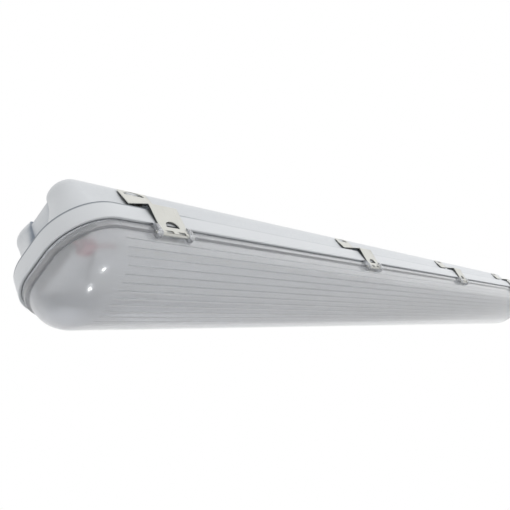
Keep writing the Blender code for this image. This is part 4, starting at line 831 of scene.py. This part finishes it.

# Clear polycarbonate with a little white in it: it lets most of the light through, the rest lights the plastic
# itself, and the smooth outer skin keeps sharp white glints. The mould's domed ends are frosted more than the
# ribbed length, so what lies behind them is only a soft spot of colour. The cheeks are polished. Where the wall
# is seen aslant the plastic is drawn grey: painted shade for the darker edges of the cover.
CLEAR_ROUGHNESS = (0.13, 0.17)
END_FROST = 0.08
POLISHED_OUT = CHEEK_ROOT + 0.001
POLISHED_SHARE = 0.3
ASLANT_SHADE = (0.65, 0.97)
clear_plastic, tree, shader = new_finish("frosted_clear_polycarbonate")
place = node(tree, "ShaderNodeTexCoord").outputs["Object"]
haze = node(tree, "ShaderNodeTexNoise", {"Vector": place, "Scale": 14.0, "Detail": 3.0})
haze = node(tree, "ShaderNodeMapRange", {"Value": haze.outputs["Fac"], "To Min": CLEAR_ROUGHNESS[0],
                                         "To Max": CLEAR_ROUGHNESS[1]})
spot = node(tree, "ShaderNodeSeparateXYZ", {"Vector": place})
along = node(tree, "ShaderNodeMath", {0: spot.outputs["X"]}, operation="ABSOLUTE")
aside = node(tree, "ShaderNodeMath", {0: spot.outputs["Y"]}, operation="ABSOLUTE")
ends = node(tree, "ShaderNodeMapRange", {"Value": along.outputs[0], "From Min": RIB_HALF_LENGTH - DOME_LENGTH / 2,
                                         "From Max": RIB_HALF_LENGTH, "To Min": 0.0, "To Max": END_FROST})
blur = node(tree, "ShaderNodeMath", {0: haze.outputs["Result"], 1: ends.outputs["Result"]}, operation="ADD")
polished = node(tree, "ShaderNodeMapRange", {"Value": aside.outputs[0], "From Min": CHEEK_ROOT,
                                             "From Max": POLISHED_OUT, "To Min": 1.0, "To Max": POLISHED_SHARE})
blur = node(tree, "ShaderNodeMath", {0: blur.outputs[0], 1: polished.outputs["Result"]}, operation="MULTIPLY")
frost = node(tree, "ShaderNodeTexNoise", {"Vector": place, "Scale": 900.0, "Detail": 2.0})
relief = node(tree, "ShaderNodeBump", {"Height": frost.outputs["Fac"], "Strength": 0.05, "Distance": 0.0002})
# Painted shade: the base colour turns grey where the wall is seen aslant.
aslant_shade = node(tree, "ShaderNodeLayerWeight", {"Blend": 0.5})
aslant_shade = node(tree, "ShaderNodeMapRange", {"Value": aslant_shade.outputs["Facing"], "From Min": ASLANT_SHADE[0],
                                          "From Max": ASLANT_SHADE[1]})
tint_with_aslant_shade = node(tree, "ShaderNodeMix", {"Factor": aslant_shade.outputs["Result"], "A": linear("#F9FBFF"),
                                    "B": linear("#ABB3BB")}, data_type="RGBA")
set_inputs(tree, shader, {"Base Color": tint_with_aslant_shade.outputs["Result"], "Roughness": blur.outputs[0],
                          "Normal": relief.outputs["Normal"], "IOR": 1.58, "Transmission Weight": 0.78,
                          "Coat Weight": 0.6, "Coat Roughness": 0.06})

run_rule(cover, ribs_rule, {**RIB_SIZES, "Finish": clear_plastic})
combine(cover, cheeks, "UNION")
combine(cover, pin_holes, "DIFFERENCE")
paint(cover.data, clear_plastic)
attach(cover, "cover")
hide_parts("diffuser")

# Latches: spring steel strips, stamped and bent. Each curls round its pin, which shows through two windows in the
# curl, runs up over the band and the catch, and ends in a lever with a finger slot. The edges keep the slight
# rounding of the punch.
LATCH_SHEET = 0.0008
KNUCKLE_PLAY = 0.0005
KNUCKLE_STEPS = 30
KNUCKLE_START = math.radians(35)
KNUCKLE_END = math.radians(-250)
STRIP_BENDS = ((0.0652, -0.0050), (0.0688, 0.0205), (0.0510, 0.0388), (0.0482, 0.0598))
BEND_RADIUS = 0.0016
LEAF_SLOT_WIDTH = 0.018
LEAF_SLOT_LOW_UP = -0.0045
LEAF_SLOT_HIGH_UP = 0.0025
LEAF_SLOT_SHOULDER = 0.25
FINGER_SLOT_WIDTH = 0.028
FINGER_SLOT_HEIGHT = 0.0052
FINGER_SLOT_BOW = 0.0010
FINGER_SLOT_UP = 0.0558
KNUCKLE_WINDOW = (0.0035, 0.0135)
KNUCKLE_WINDOW_REACH = 0.0017
STAMPED_EDGE = 0.00018


def ribbon(line, thickness):
    """The outline of a bent strip of this thickness, from its middle line."""
    spots = [Vector(spot) for spot in line]
    left = []
    right = []
    for index, spot in enumerate(spots):
        before = spots[max(index - 1, 0)]
        after = spots[min(index + 1, len(spots) - 1)]
        along = (after - before).normalized()
        across_strip = Vector((-along.y, along.x))
        into = (spot - before).normalized() if index else along
        widen = 1 / max(0.5, abs(into.dot(along)))
        left.append(spot + across_strip * thickness / 2 * widen)
        right.append(spot - across_strip * thickness / 2 * widen)
    return left + right[::-1]


curl = PIN_RADIUS + KNUCKLE_PLAY + LATCH_SHEET / 2
knuckle = []
for step in range(KNUCKLE_STEPS + 1):
    angle = KNUCKLE_END + (KNUCKLE_START - KNUCKLE_END) * step / KNUCKLE_STEPS
    knuckle.append((curl * math.cos(angle), curl * math.sin(angle)))
bends = [(out - PIN_OUT, height - PIN_UP) for out, height in STRIP_BENDS]
leaf_out = bends[0][0] + LATCH_SHEET
lever_out = bends[-1][0] + LATCH_SHEET
strip = rounded([knuckle[-1], *bends], [2 * BEND_RADIUS, BEND_RADIUS, BEND_RADIUS])
latch_outline = [(-out, height) for out, height in ribbon(knuckle + strip[1:], LATCH_SHEET)]


def slot_tool(points, y):
    """A cutter through the strip: an outline of (x, height above the pin) points drawn along Y about one y."""
    return drawn("slot", [(x, y - BEND_RADIUS, z) for x, z in points], (0.0, 2 * BEND_RADIUS, 0.0))

def crescent(width, height, bow, middle, steps=20):
    """A slot with pointed ends that bows upwards."""
    upper = []
    lower = []
    for step in range(steps + 1):
        share = 2 * step / steps - 1
        belly = math.sqrt(max(0.0, 1 - share * share))
        centre = middle + bow * (1 - 2 * share * share)
        upper.append((share * width / 2, centre + height / 2 * belly))
        lower.append((share * width / 2, centre - height / 2 * belly))
    return upper + lower[-2:0:-1]


def half_moon(width, low, high, steps=14):
    """A slot with a flat foot and an arched top."""
    arch = [(math.cos(math.pi * step / steps), math.sin(math.pi * step / steps)) for step in range(steps + 1)]
    heights = [low + (high - low) * (LEAF_SLOT_SHOULDER + (1 - LEAF_SLOT_SHOULDER) * z) for _, z in arch]
    return [(width / 2 * x, height) for (x, _), height in zip(arch, heights)] + [
        (-width / 2, low), (width / 2, low)]


finger_slot = crescent(FINGER_SLOT_WIDTH, FINGER_SLOT_HEIGHT, FINGER_SLOT_BOW, FINGER_SLOT_UP - PIN_UP)
latch_tools = [
    slot_tool(finger_slot, -lever_out),
    slot_tool(half_moon(LEAF_SLOT_WIDTH, LEAF_SLOT_LOW_UP - PIN_UP, LEAF_SLOT_HIGH_UP - PIN_UP), -leaf_out),
]
for side in SIDES.values():
    window = [(side * x, z) for x in KNUCKLE_WINDOW for z in (-KNUCKLE_WINDOW_REACH, KNUCKLE_WINDOW_REACH)]
    latch_tools.append(slot_tool([window[0], window[2], window[3], window[1]], -BEND_RADIUS - LATCH_SHEET))

# Rolled stainless steel: a soft warm grey mirror. The rolling marks run along the strip's length, drawn
# 0.6 mm apart, coarser than the real 0.05 mm, and they stretch the reflections across the fixture.
rolled_steel, tree, shader = new_finish("rolled_stainless_steel")
place = node(tree, "ShaderNodeTexCoord").outputs["Object"]
stretch = node(tree, "ShaderNodeMapping", {"Vector": place, "Scale": (1700.0, 30.0, 30.0)})
marks = node(tree, "ShaderNodeTexNoise", {"Vector": stretch.outputs["Vector"], "Scale": 1.0, "Detail": 3.0})
stain = node(tree, "ShaderNodeTexNoise", {"Vector": place, "Scale": 60.0, "Detail": 2.0})
polish = node(tree, "ShaderNodeMapRange", {"Value": marks.outputs["Fac"], "To Min": 0.22, "To Max": 0.38})
tone = node(tree, "ShaderNodeMix", {"Factor": stain.outputs["Fac"], "A": linear("#D2D2CC"),
                                    "B": linear("#DEDED8")}, data_type="RGBA")
relief = node(tree, "ShaderNodeBump", {"Height": marks.outputs["Fac"], "Strength": 0.05, "Distance": 0.0001})
set_inputs(tree, shader, {"Base Color": tone.outputs["Result"], "Roughness": polish.outputs["Result"],
                          "Normal": relief.outputs["Normal"], "Metallic": 1.0})

pattern = add_piece("latch_pattern", prism(latch_outline, -LATCH_WIDTH / 2, LATCH_WIDTH / 2))
combine(pattern, latch_tools, "DIFFERENCE")
ease(pattern, STAMPED_EDGE)
latch_pattern = take_mesh(pattern)
for name, side, x in latch_places:
    mesh = latch_pattern.copy()
    mesh.transform(Matrix.Translation((x, side * PIN_OUT, up(PIN_UP)))
                   @ Matrix.Rotation(math.pi if side > 0 else 0.0, 4, "Z"))
    latch = add_piece(f"spring_latch_{name}", mesh, rolled_steel)
    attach(latch, f"latch_{name}_body")
    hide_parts(f"latch_{name}")

# Latch pins: short stainless rods through the cheeks and the latch's curl, with a small rounding at both ends.
# Geometry Nodes set one pin at each latch.
PIN_PROUD = 0.0005
PIN_LENGTH = LATCH_WIDTH + 2 * (CHEEK_PLAY + CHEEK_THICKNESS + PIN_PROUD)
PIN_END_ROUNDING = 0.0003
COPY_INPUTS = [("Pattern", "NodeSocketObject"), ("Finish", "NodeSocketMaterial")]
NO_TURN = (0.0, 0.0, 0.0)
FULL_SIZE = (1.0, 1.0, 1.0)


def copies_rule(name):
    """Sets a pattern on every point of a mesh, turned and sized by the points' own values."""
    tree, given = new_rule(name, COPY_INPUTS)
    pattern_shape = node(tree, "GeometryNodeObjectInfo", {"Object": given["Pattern"], "As Instance": True})
    turn = node(tree, "GeometryNodeInputNamedAttribute", {"Name": "turn"}, data_type="FLOAT_VECTOR")
    size = node(tree, "GeometryNodeInputNamedAttribute", {"Name": "size"}, data_type="FLOAT_VECTOR")
    points = node(tree, "GeometryNodeMeshToPoints", {"Mesh": given["Geometry"]})
    placed = node(tree, "GeometryNodeInstanceOnPoints", {
        "Points": points.outputs["Points"], "Instance": pattern_shape.outputs["Geometry"],
        "Rotation": turn.outputs["Attribute"], "Scale": size.outputs["Attribute"]})
    end_rule(tree, placed.outputs["Instances"], given["Finish"])
    return tree


def copies(name, tree, pattern_mesh, finish, places):
    """One piece made of copies of a pattern; places holds (point, turn, size) for each."""
    mesh = bpy.data.meshes.new(name)
    mesh.from_pydata([tuple(point) for point, _, _ in places], [], [])
    for label, column in (("turn", 1), ("size", 2)):
        values = mesh.attributes.new(label, "FLOAT_VECTOR", "POINT")
        values.data.foreach_set("vector", [number for place in places for number in place[column]])
    piece = add_piece(name, mesh)
    pattern_piece = add_piece(f"{name}_pattern", pattern_mesh)
    run_rule(piece, tree, {"Pattern": pattern_piece, "Finish": finish})
    bpy.data.objects.remove(pattern_piece, do_unlink=True)
    return piece


pin = add_piece("pin", rod(PIN_RADIUS, (-PIN_LENGTH / 2, 0.0, 0.0), (PIN_LENGTH / 2, 0.0, 0.0), 32))
ease(pin, PIN_END_ROUNDING, segments=3)
pins = copies("latch_pins", copies_rule("set_pins"), take_mesh(pin), rolled_steel,
              [((x, side * PIN_OUT, up(PIN_UP)), NO_TURN, FULL_SIZE) for _, side, x in latch_places])
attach(pins, "cover")
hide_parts(*[f"latch_pin_{name}" for name, _, _ in latch_places])

# Gear tray: one sheet of steel, folded into a channel with small bend radii and coated with white powder paint.
# It hangs from the four bosses and carries the boards below and the driver above.
TRAY_SHEET = 0.0010
TRAY_BEND = 0.0015
TRAY_EDGE = 0.0002
TRAY_HOLE_RADIUS = 0.0018
tray_low, tray_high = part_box("gear_tray")
tray_half = tray_high[1] - TRAY_SHEET / 2
tray_floor = tray_low[2] + TRAY_SHEET / 2
tray_line = rounded([(-tray_half, tray_high[2]), (-tray_half, tray_floor), (tray_half, tray_floor),
                     (tray_half, tray_high[2])], [TRAY_BEND, TRAY_BEND])
tray = add_piece("folded_gear_tray", prism(ribbon(tray_line, TRAY_SHEET), tray_low[0], tray_high[0]))
tray_holes = []
for screw in [f"tray_screw_{n}" for n in range(1, 5)] + ["driver_screw_1", "driver_screw_2", "earth_screw"]:
    low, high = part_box(screw)
    x, y = (low[0] + high[0]) / 2, (low[1] + high[1]) / 2
    ends = [(x, y, tray_floor + way * 2 * TRAY_SHEET) for way in (-1, 1)]
    tray_holes.append(rod(TRAY_HOLE_RADIUS, *ends))
combine(tray, tray_holes, "DIFFERENCE")
ease(tray, TRAY_EDGE)


def speckled_finish(name, scale, detail, colours, roughness, relief=None, **others):
    """A finish with a fine noise on it, which moves the tone between two colours and the roughness between two
    values where two are given. Its relief is the bumps' strength and height."""
    finish, tree, shader = new_finish(name)
    place = node(tree, "ShaderNodeTexCoord").outputs["Object"]
    speckle = node(tree, "ShaderNodeTexNoise", {"Vector": place, "Scale": scale, "Detail": detail}).outputs["Fac"]
    sockets = {"Base Color": linear(colours[0]), "Roughness": roughness[0], **others}
    if len(colours) == 2:
        tone = node(tree, "ShaderNodeMix", {"Factor": speckle, "A": linear(colours[0]), "B": linear(colours[1])},
                    data_type="RGBA")
        sockets["Base Color"] = tone.outputs["Result"]
    if len(roughness) == 2:
        gloss = node(tree, "ShaderNodeMapRange", {"Value": speckle, "To Min": roughness[0], "To Max": roughness[1]})
        sockets["Roughness"] = gloss.outputs["Result"]
    if relief:
        bumps = node(tree, "ShaderNodeBump", {"Height": speckle, "Strength": relief[0], "Distance": relief[1]})
        sockets["Normal"] = bumps.outputs["Normal"]
    set_inputs(tree, shader, sockets)
    return finish

# Powder paint flows as it bakes and leaves a faint orange peel, here 2 mm across as on the real tray.
white_powder = speckled_finish("white_powder_coated_steel", 500.0, 1.0, ["#F3F3F0"], [0.34, 0.44], (0.12, 0.0003))
paint(tray.data, white_powder)
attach(tray, "fixture")
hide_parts("gear_tray")

# LED boards: four strips of fibreglass board under white solder mask, with a solder joint at each wired end.
# Each carries a row of small white LED packages with yellow phosphor faces, set by Geometry Nodes.
CHIP_PITCH = 0.0125
CHIP_LENGTH = 0.0035
CHIP_WIDTH = 0.0028
CHIP_HEIGHT = 0.0007
PHOSPHOR_RADIUS = 0.00115
PHOSPHOR_PROUD = 0.00005
white_mask = speckled_finish("white_solder_mask", 700.0, 2.0, ["#EDEDE8", "#F4F4F0"], [0.38], (0.08, 0.0001))

# The phosphor is silicone filled with yellow powder, soft and slightly wet to the eye.
yellow_phosphor = speckled_finish("yellow_phosphor_silicone", 2500.0, 1.0, ["#E8D44A", "#F1E070"], [0.30])

# The packages' white bodies are glossy moulded resin.
white_resin = speckled_finish("white_moulded_resin", 300.0, 2.0, ["#F2F1EC"], [0.25, 0.35])

chip_spots = []
for number in range(1, 5):
    paint(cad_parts[f"led_board_{number}"].data, white_mask)
    low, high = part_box(f"led_board_{number}")
    count = int((high[0] - low[0]) / CHIP_PITCH)
    first = (low[0] + high[0]) / 2 - (count - 1) / 2 * CHIP_PITCH
    chip_spots += [(first + index * CHIP_PITCH, (low[1] + high[1]) / 2, low[2]) for index in range(count)]
chip_rule = copies_rule("set_chips")
plain_places = [(spot, NO_TURN, FULL_SIZE) for spot in chip_spots]
chip_form = block((-CHIP_LENGTH / 2, -CHIP_WIDTH / 2, -CHIP_HEIGHT), (CHIP_LENGTH / 2, CHIP_WIDTH / 2, 0.0))
phosphor_form = rod(PHOSPHOR_RADIUS, (0.0, 0.0, -CHIP_HEIGHT - PHOSPHOR_PROUD), (0.0, 0.0, -CHIP_HEIGHT / 2), 12)
chips = copies("led_packages", chip_rule, chip_form, white_resin, plain_places)
phosphors = copies("led_phosphors", chip_rule, phosphor_form, yellow_phosphor, plain_places)
for piece in (chips, phosphors):
    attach(piece, "fixture")

# Driver: a sealed box of white glass-filled plastic with an ear at each end, screwed to the tray's floor.
DRIVER_EDGE = 0.0004
FLAT_ANGLE = math.radians(1.0)


def eased_copy(node_name, name, finish, width):
    """A copy of a CAD node with its triangles merged into faces and its sharp edges rounded."""
    form = bmesh.new()
    form.from_mesh(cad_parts[node_name].data)
    bmesh.ops.remove_doubles(form, verts=form.verts, dist=MERGE)
    bmesh.ops.dissolve_limit(form, angle_limit=FLAT_ANGLE, verts=form.verts, edges=form.edges)
    mesh = bpy.data.meshes.new(name)
    form.to_mesh(mesh)
    form.free()
    piece = add_piece(name, mesh)
    if width:
        ease(piece, width)
    paint(piece.data, finish)
    return piece

driver_plastic = speckled_finish("white_glass_filled_plastic", 400.0, 3.0, ["#DEDEDC"], [0.42, 0.58],
                                 (0.1, 0.0002))
driver = eased_copy("led_driver", "sealed_led_driver", driver_plastic, DRIVER_EDGE)
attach(driver, "fixture")
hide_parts("led_driver")

# Mains terminals: a block of white nylon with an entry and a screw for each pole; the real entries are brass-lined,
# but the whole block is drawn in the one nylon finish.
# The wire connector at the near end is a push-in block of red nylon.
TERMINAL_EDGE = 0.0005
CONNECTOR_EDGE = 0.0003


def moulded_nylon(name, hex_colour):
    """Nylon from a smooth mould: waxy, slightly cloudy, with faint flow marks."""
    return speckled_finish(name, 120.0, 2.0, [hex_colour], [0.32, 0.48], (0.05, 0.0003), IOR=1.53)

terminals = eased_copy("terminal_block", "mains_terminals", moulded_nylon("white_moulded_nylon", "#E4E3DE"),
                       TERMINAL_EDGE)
connector = eased_copy("wire_connector", "push_in_connector", moulded_nylon("red_moulded_nylon", "#B93A4C"),
                       CONNECTOR_EDGE)
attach(terminals, "fixture")
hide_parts("terminal_block")
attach(connector, "fixture")
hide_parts("wire_connector")

# Screws: zinc-plated pan heads with a cross recess, four into the body's bosses, two for the driver and one for
# earth. Geometry Nodes set one pattern at each, turned up or down and sized to its own head and shank.
RECESS_WIDTH = 0.22
RECESS_REACH = 0.62
RECESS_DEPTH = 0.5
HEAD_STEPS = 9
HEAD_SIDES = 40
HEAD_RIM = 0.30
HEAD_POLE = 0.02
HEAD_FULLNESS = 0.55
FIRST_TURN = 0.4
TURN_PER_METRE = 37.0


def spun(profile, sides):
    """A closed shape turned about Z from (radius, height) points, from one pole or rim to the other."""
    turns = [2 * math.pi * side / sides for side in range(sides)]
    return skin("spun", [[(radius * math.cos(turn), radius * math.sin(turn), height) for turn in turns]
                         for radius, height in profile])

head_profile = [(0.999, 0.0), (1.0, 0.05), (1.0, HEAD_RIM)]
for step in range(1, HEAD_STEPS + 1):
    angle = step / HEAD_STEPS * math.pi / 2
    head_profile.append((between(HEAD_POLE, 1.0, math.cos(angle) ** HEAD_FULLNESS),
                         between(HEAD_RIM, 1.0, math.sin(angle))))
head = add_piece("head", spun(head_profile, HEAD_SIDES))
for half_x, half_y in ((RECESS_REACH, RECESS_WIDTH / 2), (RECESS_WIDTH / 2, RECESS_REACH)):
    bar = block((-half_x, -half_y, 1.0 - RECESS_DEPTH), (half_x, half_y, 1.5))
    combine(head, [bar], "DIFFERENCE")
head_mesh = take_mesh(head)
shank_mesh = spun([(0.6, -1.0), (1.0, -0.96), (1.0, 0.0)], 24)

# Zinc plating is bright but soft, with a faint blue-yellow cast where the passivation is thicker.
zinc_plating = speckled_finish("zinc_plated_steel", 350.0, 2.0, ["#C3C9D2", "#D8D6C8"], [0.26, 0.40], Metallic=1.0)

TRAY_HEAD_HEIGHT = 0.0024
DRIVER_HEAD_HEIGHT = 0.0018
SCREWS = [(f"tray_screw_{number}", -1, TRAY_HEAD_HEIGHT) for number in range(1, 5)]
SCREWS += [(f"driver_screw_{number}", 1, DRIVER_HEAD_HEIGHT) for number in (1, 2)]
SCREWS += [("earth_screw", 1, TRAY_HEAD_HEIGHT)]
SHANK_RADIUS = 0.0015
head_places = []
shank_places = []
for screw, side, head_height in SCREWS:
    low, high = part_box(screw)
    seat = low[2] + head_height if side < 0 else high[2] - head_height
    spot = ((low[0] + high[0]) / 2, (low[1] + high[1]) / 2, seat)
    radius = (high[0] - low[0]) / 2
    turn = (0.0 if side > 0 else math.pi, 0.0, FIRST_TURN + TURN_PER_METRE * spot[0])
    head_places.append((spot, turn, (radius, radius, head_height)))
    length = high[2] - low[2] - head_height
    shank_places.append((spot, turn, (SHANK_RADIUS, SHANK_RADIUS, length)))
screw_rule = copies_rule("set_screws")
heads = copies("cross_recess_screw_heads", screw_rule, head_mesh, zinc_plating, head_places)
shanks = copies("screw_shanks", screw_rule, shank_mesh, zinc_plating, shank_places)
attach(heads, "fixture")
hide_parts(*[screw for screw, _, _ in SCREWS])
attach(shanks, "fixture")

# Wires: single strands in soft PVC insulation, extruded, so each has a low even gloss.
# Brown and blue feed the driver, green is earth, red and black feed the boards; the CAD's routes are smoothed.
WIRE_COLOURS = {
    "brown_insulation": ("#5B3A26", ["wire_live"]),
    "blue_insulation": ("#2C5FA8", ["wire_neutral"]),
    "green_insulation": ("#5FA33C", ["wire_earth"]),
    "red_insulation": ("#B8262E", ["wire_led_plus", "wire_board_1", "wire_board_link"]),
    "black_insulation": ("#202123", ["wire_led_minus", "wire_board_2"]),
}
for slot, (colour, wires) in WIRE_COLOURS.items():
    extruded_pvc = speckled_finish(f"extruded_pvc_{slot.split('_')[0]}", 600.0, 1.0, [colour], [0.36, 0.50])
    for wire in wires:
        strand = eased_copy(wire, f"pvc_{wire}", extruded_pvc, 0.0)
        rounder = strand.modifiers.new("rounder", "SUBSURF")
        rounder.levels = 1
        rounder.render_levels = 1
        settle(strand)
        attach(strand, "fixture")
        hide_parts(wire)

# Cable gland: grey nylon turned parts. The body's hexagon bears on a rubber washer outside the pad, a lock nut
# holds it inside, and the dome nut with its grip ribs squeezes a rubber seal round the supply cable.
GLAND_STEPS = 72
GLAND_DOME_STEPS = 8
GLAND_NECK_RADIUS = 0.0085
GLAND_THREAD_RADIUS = 0.0098
GLAND_NUT_SHOULDER = 0.0035
GLAND_NUT_LIP = 0.0030
GLAND_NUT_MOUTH_RADIUS = 0.0062
GLAND_PLAY = 0.0004
GLAND_SEAL_RADIUS = 0.0045
GLAND_EDGE = 0.0004
GLAND_RIBS = 30
GRIP_DEPTH = 0.0007
GRIP_WIDTH = 0.0010


def turned(name, profile, finish):
    """A ring turned about the gland's axis from a closed profile of (radius, x) points."""
    form = bmesh.new()
    rows = []
    for step in range(GLAND_STEPS):
        angle = 2 * math.pi * step / GLAND_STEPS
        rows.append([form.verts.new((x, radius * math.cos(angle), up(gland_up) + radius * math.sin(angle)))
                     for radius, x in profile])
    bridge(form, rows + rows[:1])
    return add_piece(name, closed_mesh(form, name), finish)


def ring_profile(inner, outer, low, high, edge):
    """A rectangle with its four corners cut."""
    return [(outer, low + edge), (outer, high - edge), (outer - edge, high), (inner + edge, high),
            (inner, high - edge), (inner, low + edge), (inner + edge, low), (outer - edge, low)]


grey_nylon = moulded_nylon("grey_moulded_nylon", "#AEB2B6")

# Moulded rubber is deep black and matt, with a dusting of pale bloom.
black_rubber = speckled_finish("moulded_black_rubber", 250.0, 3.0, ["#1C1C1D", "#2B2B2C"], [0.75])

washer_low, washer_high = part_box("gland_washer")
seal_low, seal_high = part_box("gland_seal")
nut_low, nut_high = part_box("gland_nut")
washer = turned("rubber_gland_washer", ring_profile(GLAND_THREAD_RADIUS + GLAND_PLAY, washer_high[1],
                                                    washer_low[0], washer_high[0], GLAND_EDGE), black_rubber)
seal = turned("rubber_gland_seal", ring_profile(GLAND_SEAL_RADIUS, seal_high[1], seal_low[0], seal_high[0],
                                                GLAND_EDGE), black_rubber)
nut_radius = nut_high[1]
nut_wall = nut_radius - GRIP_DEPTH
dome = [(nut_wall, nut_low[0] + GLAND_EDGE)]
for step in range(GLAND_DOME_STEPS + 1):
    angle = step / GLAND_DOME_STEPS * math.pi / 2
    dome.append((nut_wall - GLAND_NUT_SHOULDER * (1 - math.cos(angle)),
                 nut_high[0] - GLAND_NUT_SHOULDER * (1 - math.sin(angle))))
bore = GLAND_NECK_RADIUS + GLAND_PLAY
nut = turned("ribbed_gland_nut", dome + [
    (GLAND_NUT_MOUTH_RADIUS + GLAND_EDGE, nut_high[0]), (GLAND_NUT_MOUTH_RADIUS, nut_high[0] - GLAND_EDGE),
    (GLAND_NUT_MOUTH_RADIUS, nut_high[0] - GLAND_NUT_LIP), (bore, nut_high[0] - GLAND_NUT_LIP),
    (bore, nut_low[0]), (nut_wall - GLAND_EDGE, nut_low[0])], grey_nylon)

# The grip ribs follow the nut's rim: Geometry Nodes set one low ridge at each point of a circle.
grip_rule, given = new_rule("grip_ribs", [
    ("Count", "NodeSocketInt"), ("Radius", "NodeSocketFloat"), ("Pattern", "NodeSocketObject"),
    ("Centre", "NodeSocketVector"), ("Finish", "NodeSocketMaterial")])
circle = node(grip_rule, "GeometryNodeMeshCircle", {"Vertices": given["Count"], "Radius": given["Radius"]})
ridge_shape = node(grip_rule, "GeometryNodeObjectInfo", {"Object": given["Pattern"], "As Instance": True})
index = node(grip_rule, "GeometryNodeInputIndex")
angle = node(grip_rule, "ShaderNodeMath", {0: index.outputs["Index"], 1: 2 * math.pi / GLAND_RIBS},
             operation="MULTIPLY")
about = node(grip_rule, "ShaderNodeCombineXYZ", {"Z": angle.outputs[0]})
ridges = node(grip_rule, "GeometryNodeInstanceOnPoints", {
    "Points": circle.outputs["Mesh"], "Instance": ridge_shape.outputs["Geometry"],
    "Rotation": about.outputs["Vector"]})
upright = node(grip_rule, "GeometryNodeTransform", {"Geometry": ridges.outputs["Instances"],
                                                    "Translation": given["Centre"],
                                                    "Rotation": (0.0, math.pi / 2, 0.0)})
end_rule(grip_rule, upright.outputs["Geometry"], given["Finish"])
grip_length = nut_high[0] - nut_low[0] - GLAND_NUT_SHOULDER - 2 * GLAND_EDGE
ridge = add_piece("ridge", block((-GRIP_DEPTH, -GRIP_WIDTH / 2, -grip_length / 2),
                                 (0.0, GRIP_WIDTH / 2, grip_length / 2), GRIP_DEPTH / 3))
grips = add_piece("gland_grip_ribs", bpy.data.meshes.new("gland_grip_ribs"))
run_rule(grips, grip_rule, {"Count": GLAND_RIBS, "Radius": nut_radius, "Pattern": ridge, "Finish": grey_nylon,
                            "Centre": (nut_low[0] + 2 * GLAND_EDGE + grip_length / 2, 0.0, up(gland_up))})
bpy.data.objects.remove(ridge, do_unlink=True)
stem = eased_copy("gland_body", "gland_stem", grey_nylon, GLAND_EDGE)
lock_nut = eased_copy("gland_lock_nut", "gland_inner_nut", grey_nylon, GLAND_EDGE)
for piece, slot, cad_nodes in (
        (washer, "black_rubber", ["gland_washer"]), (seal, "black_rubber", ["gland_seal"]),
        (nut, "grey_nylon", ["gland_nut"]), (grips, "grey_nylon", []), (stem, "grey_nylon", ["gland_body"]),
        (lock_nut, "grey_nylon", ["gland_lock_nut"])):
    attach(piece, "fixture")
    if cad_nodes:
        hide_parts(*cad_nodes)

# Mounting brackets: stamped stainless plates that are screwed to the ceiling, with two barbed tabs each that snap
# under the body's lugs. They keep the slight rounding of the punch.
BRACKET_EDGE = 0.0002
for number in (1, 2):
    bracket = eased_copy(f"mounting_bracket_{number}", f"snap_in_bracket_{number}", rolled_steel, BRACKET_EDGE)
    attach(bracket, "fixture")
    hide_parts(f"mounting_bracket_{number}")
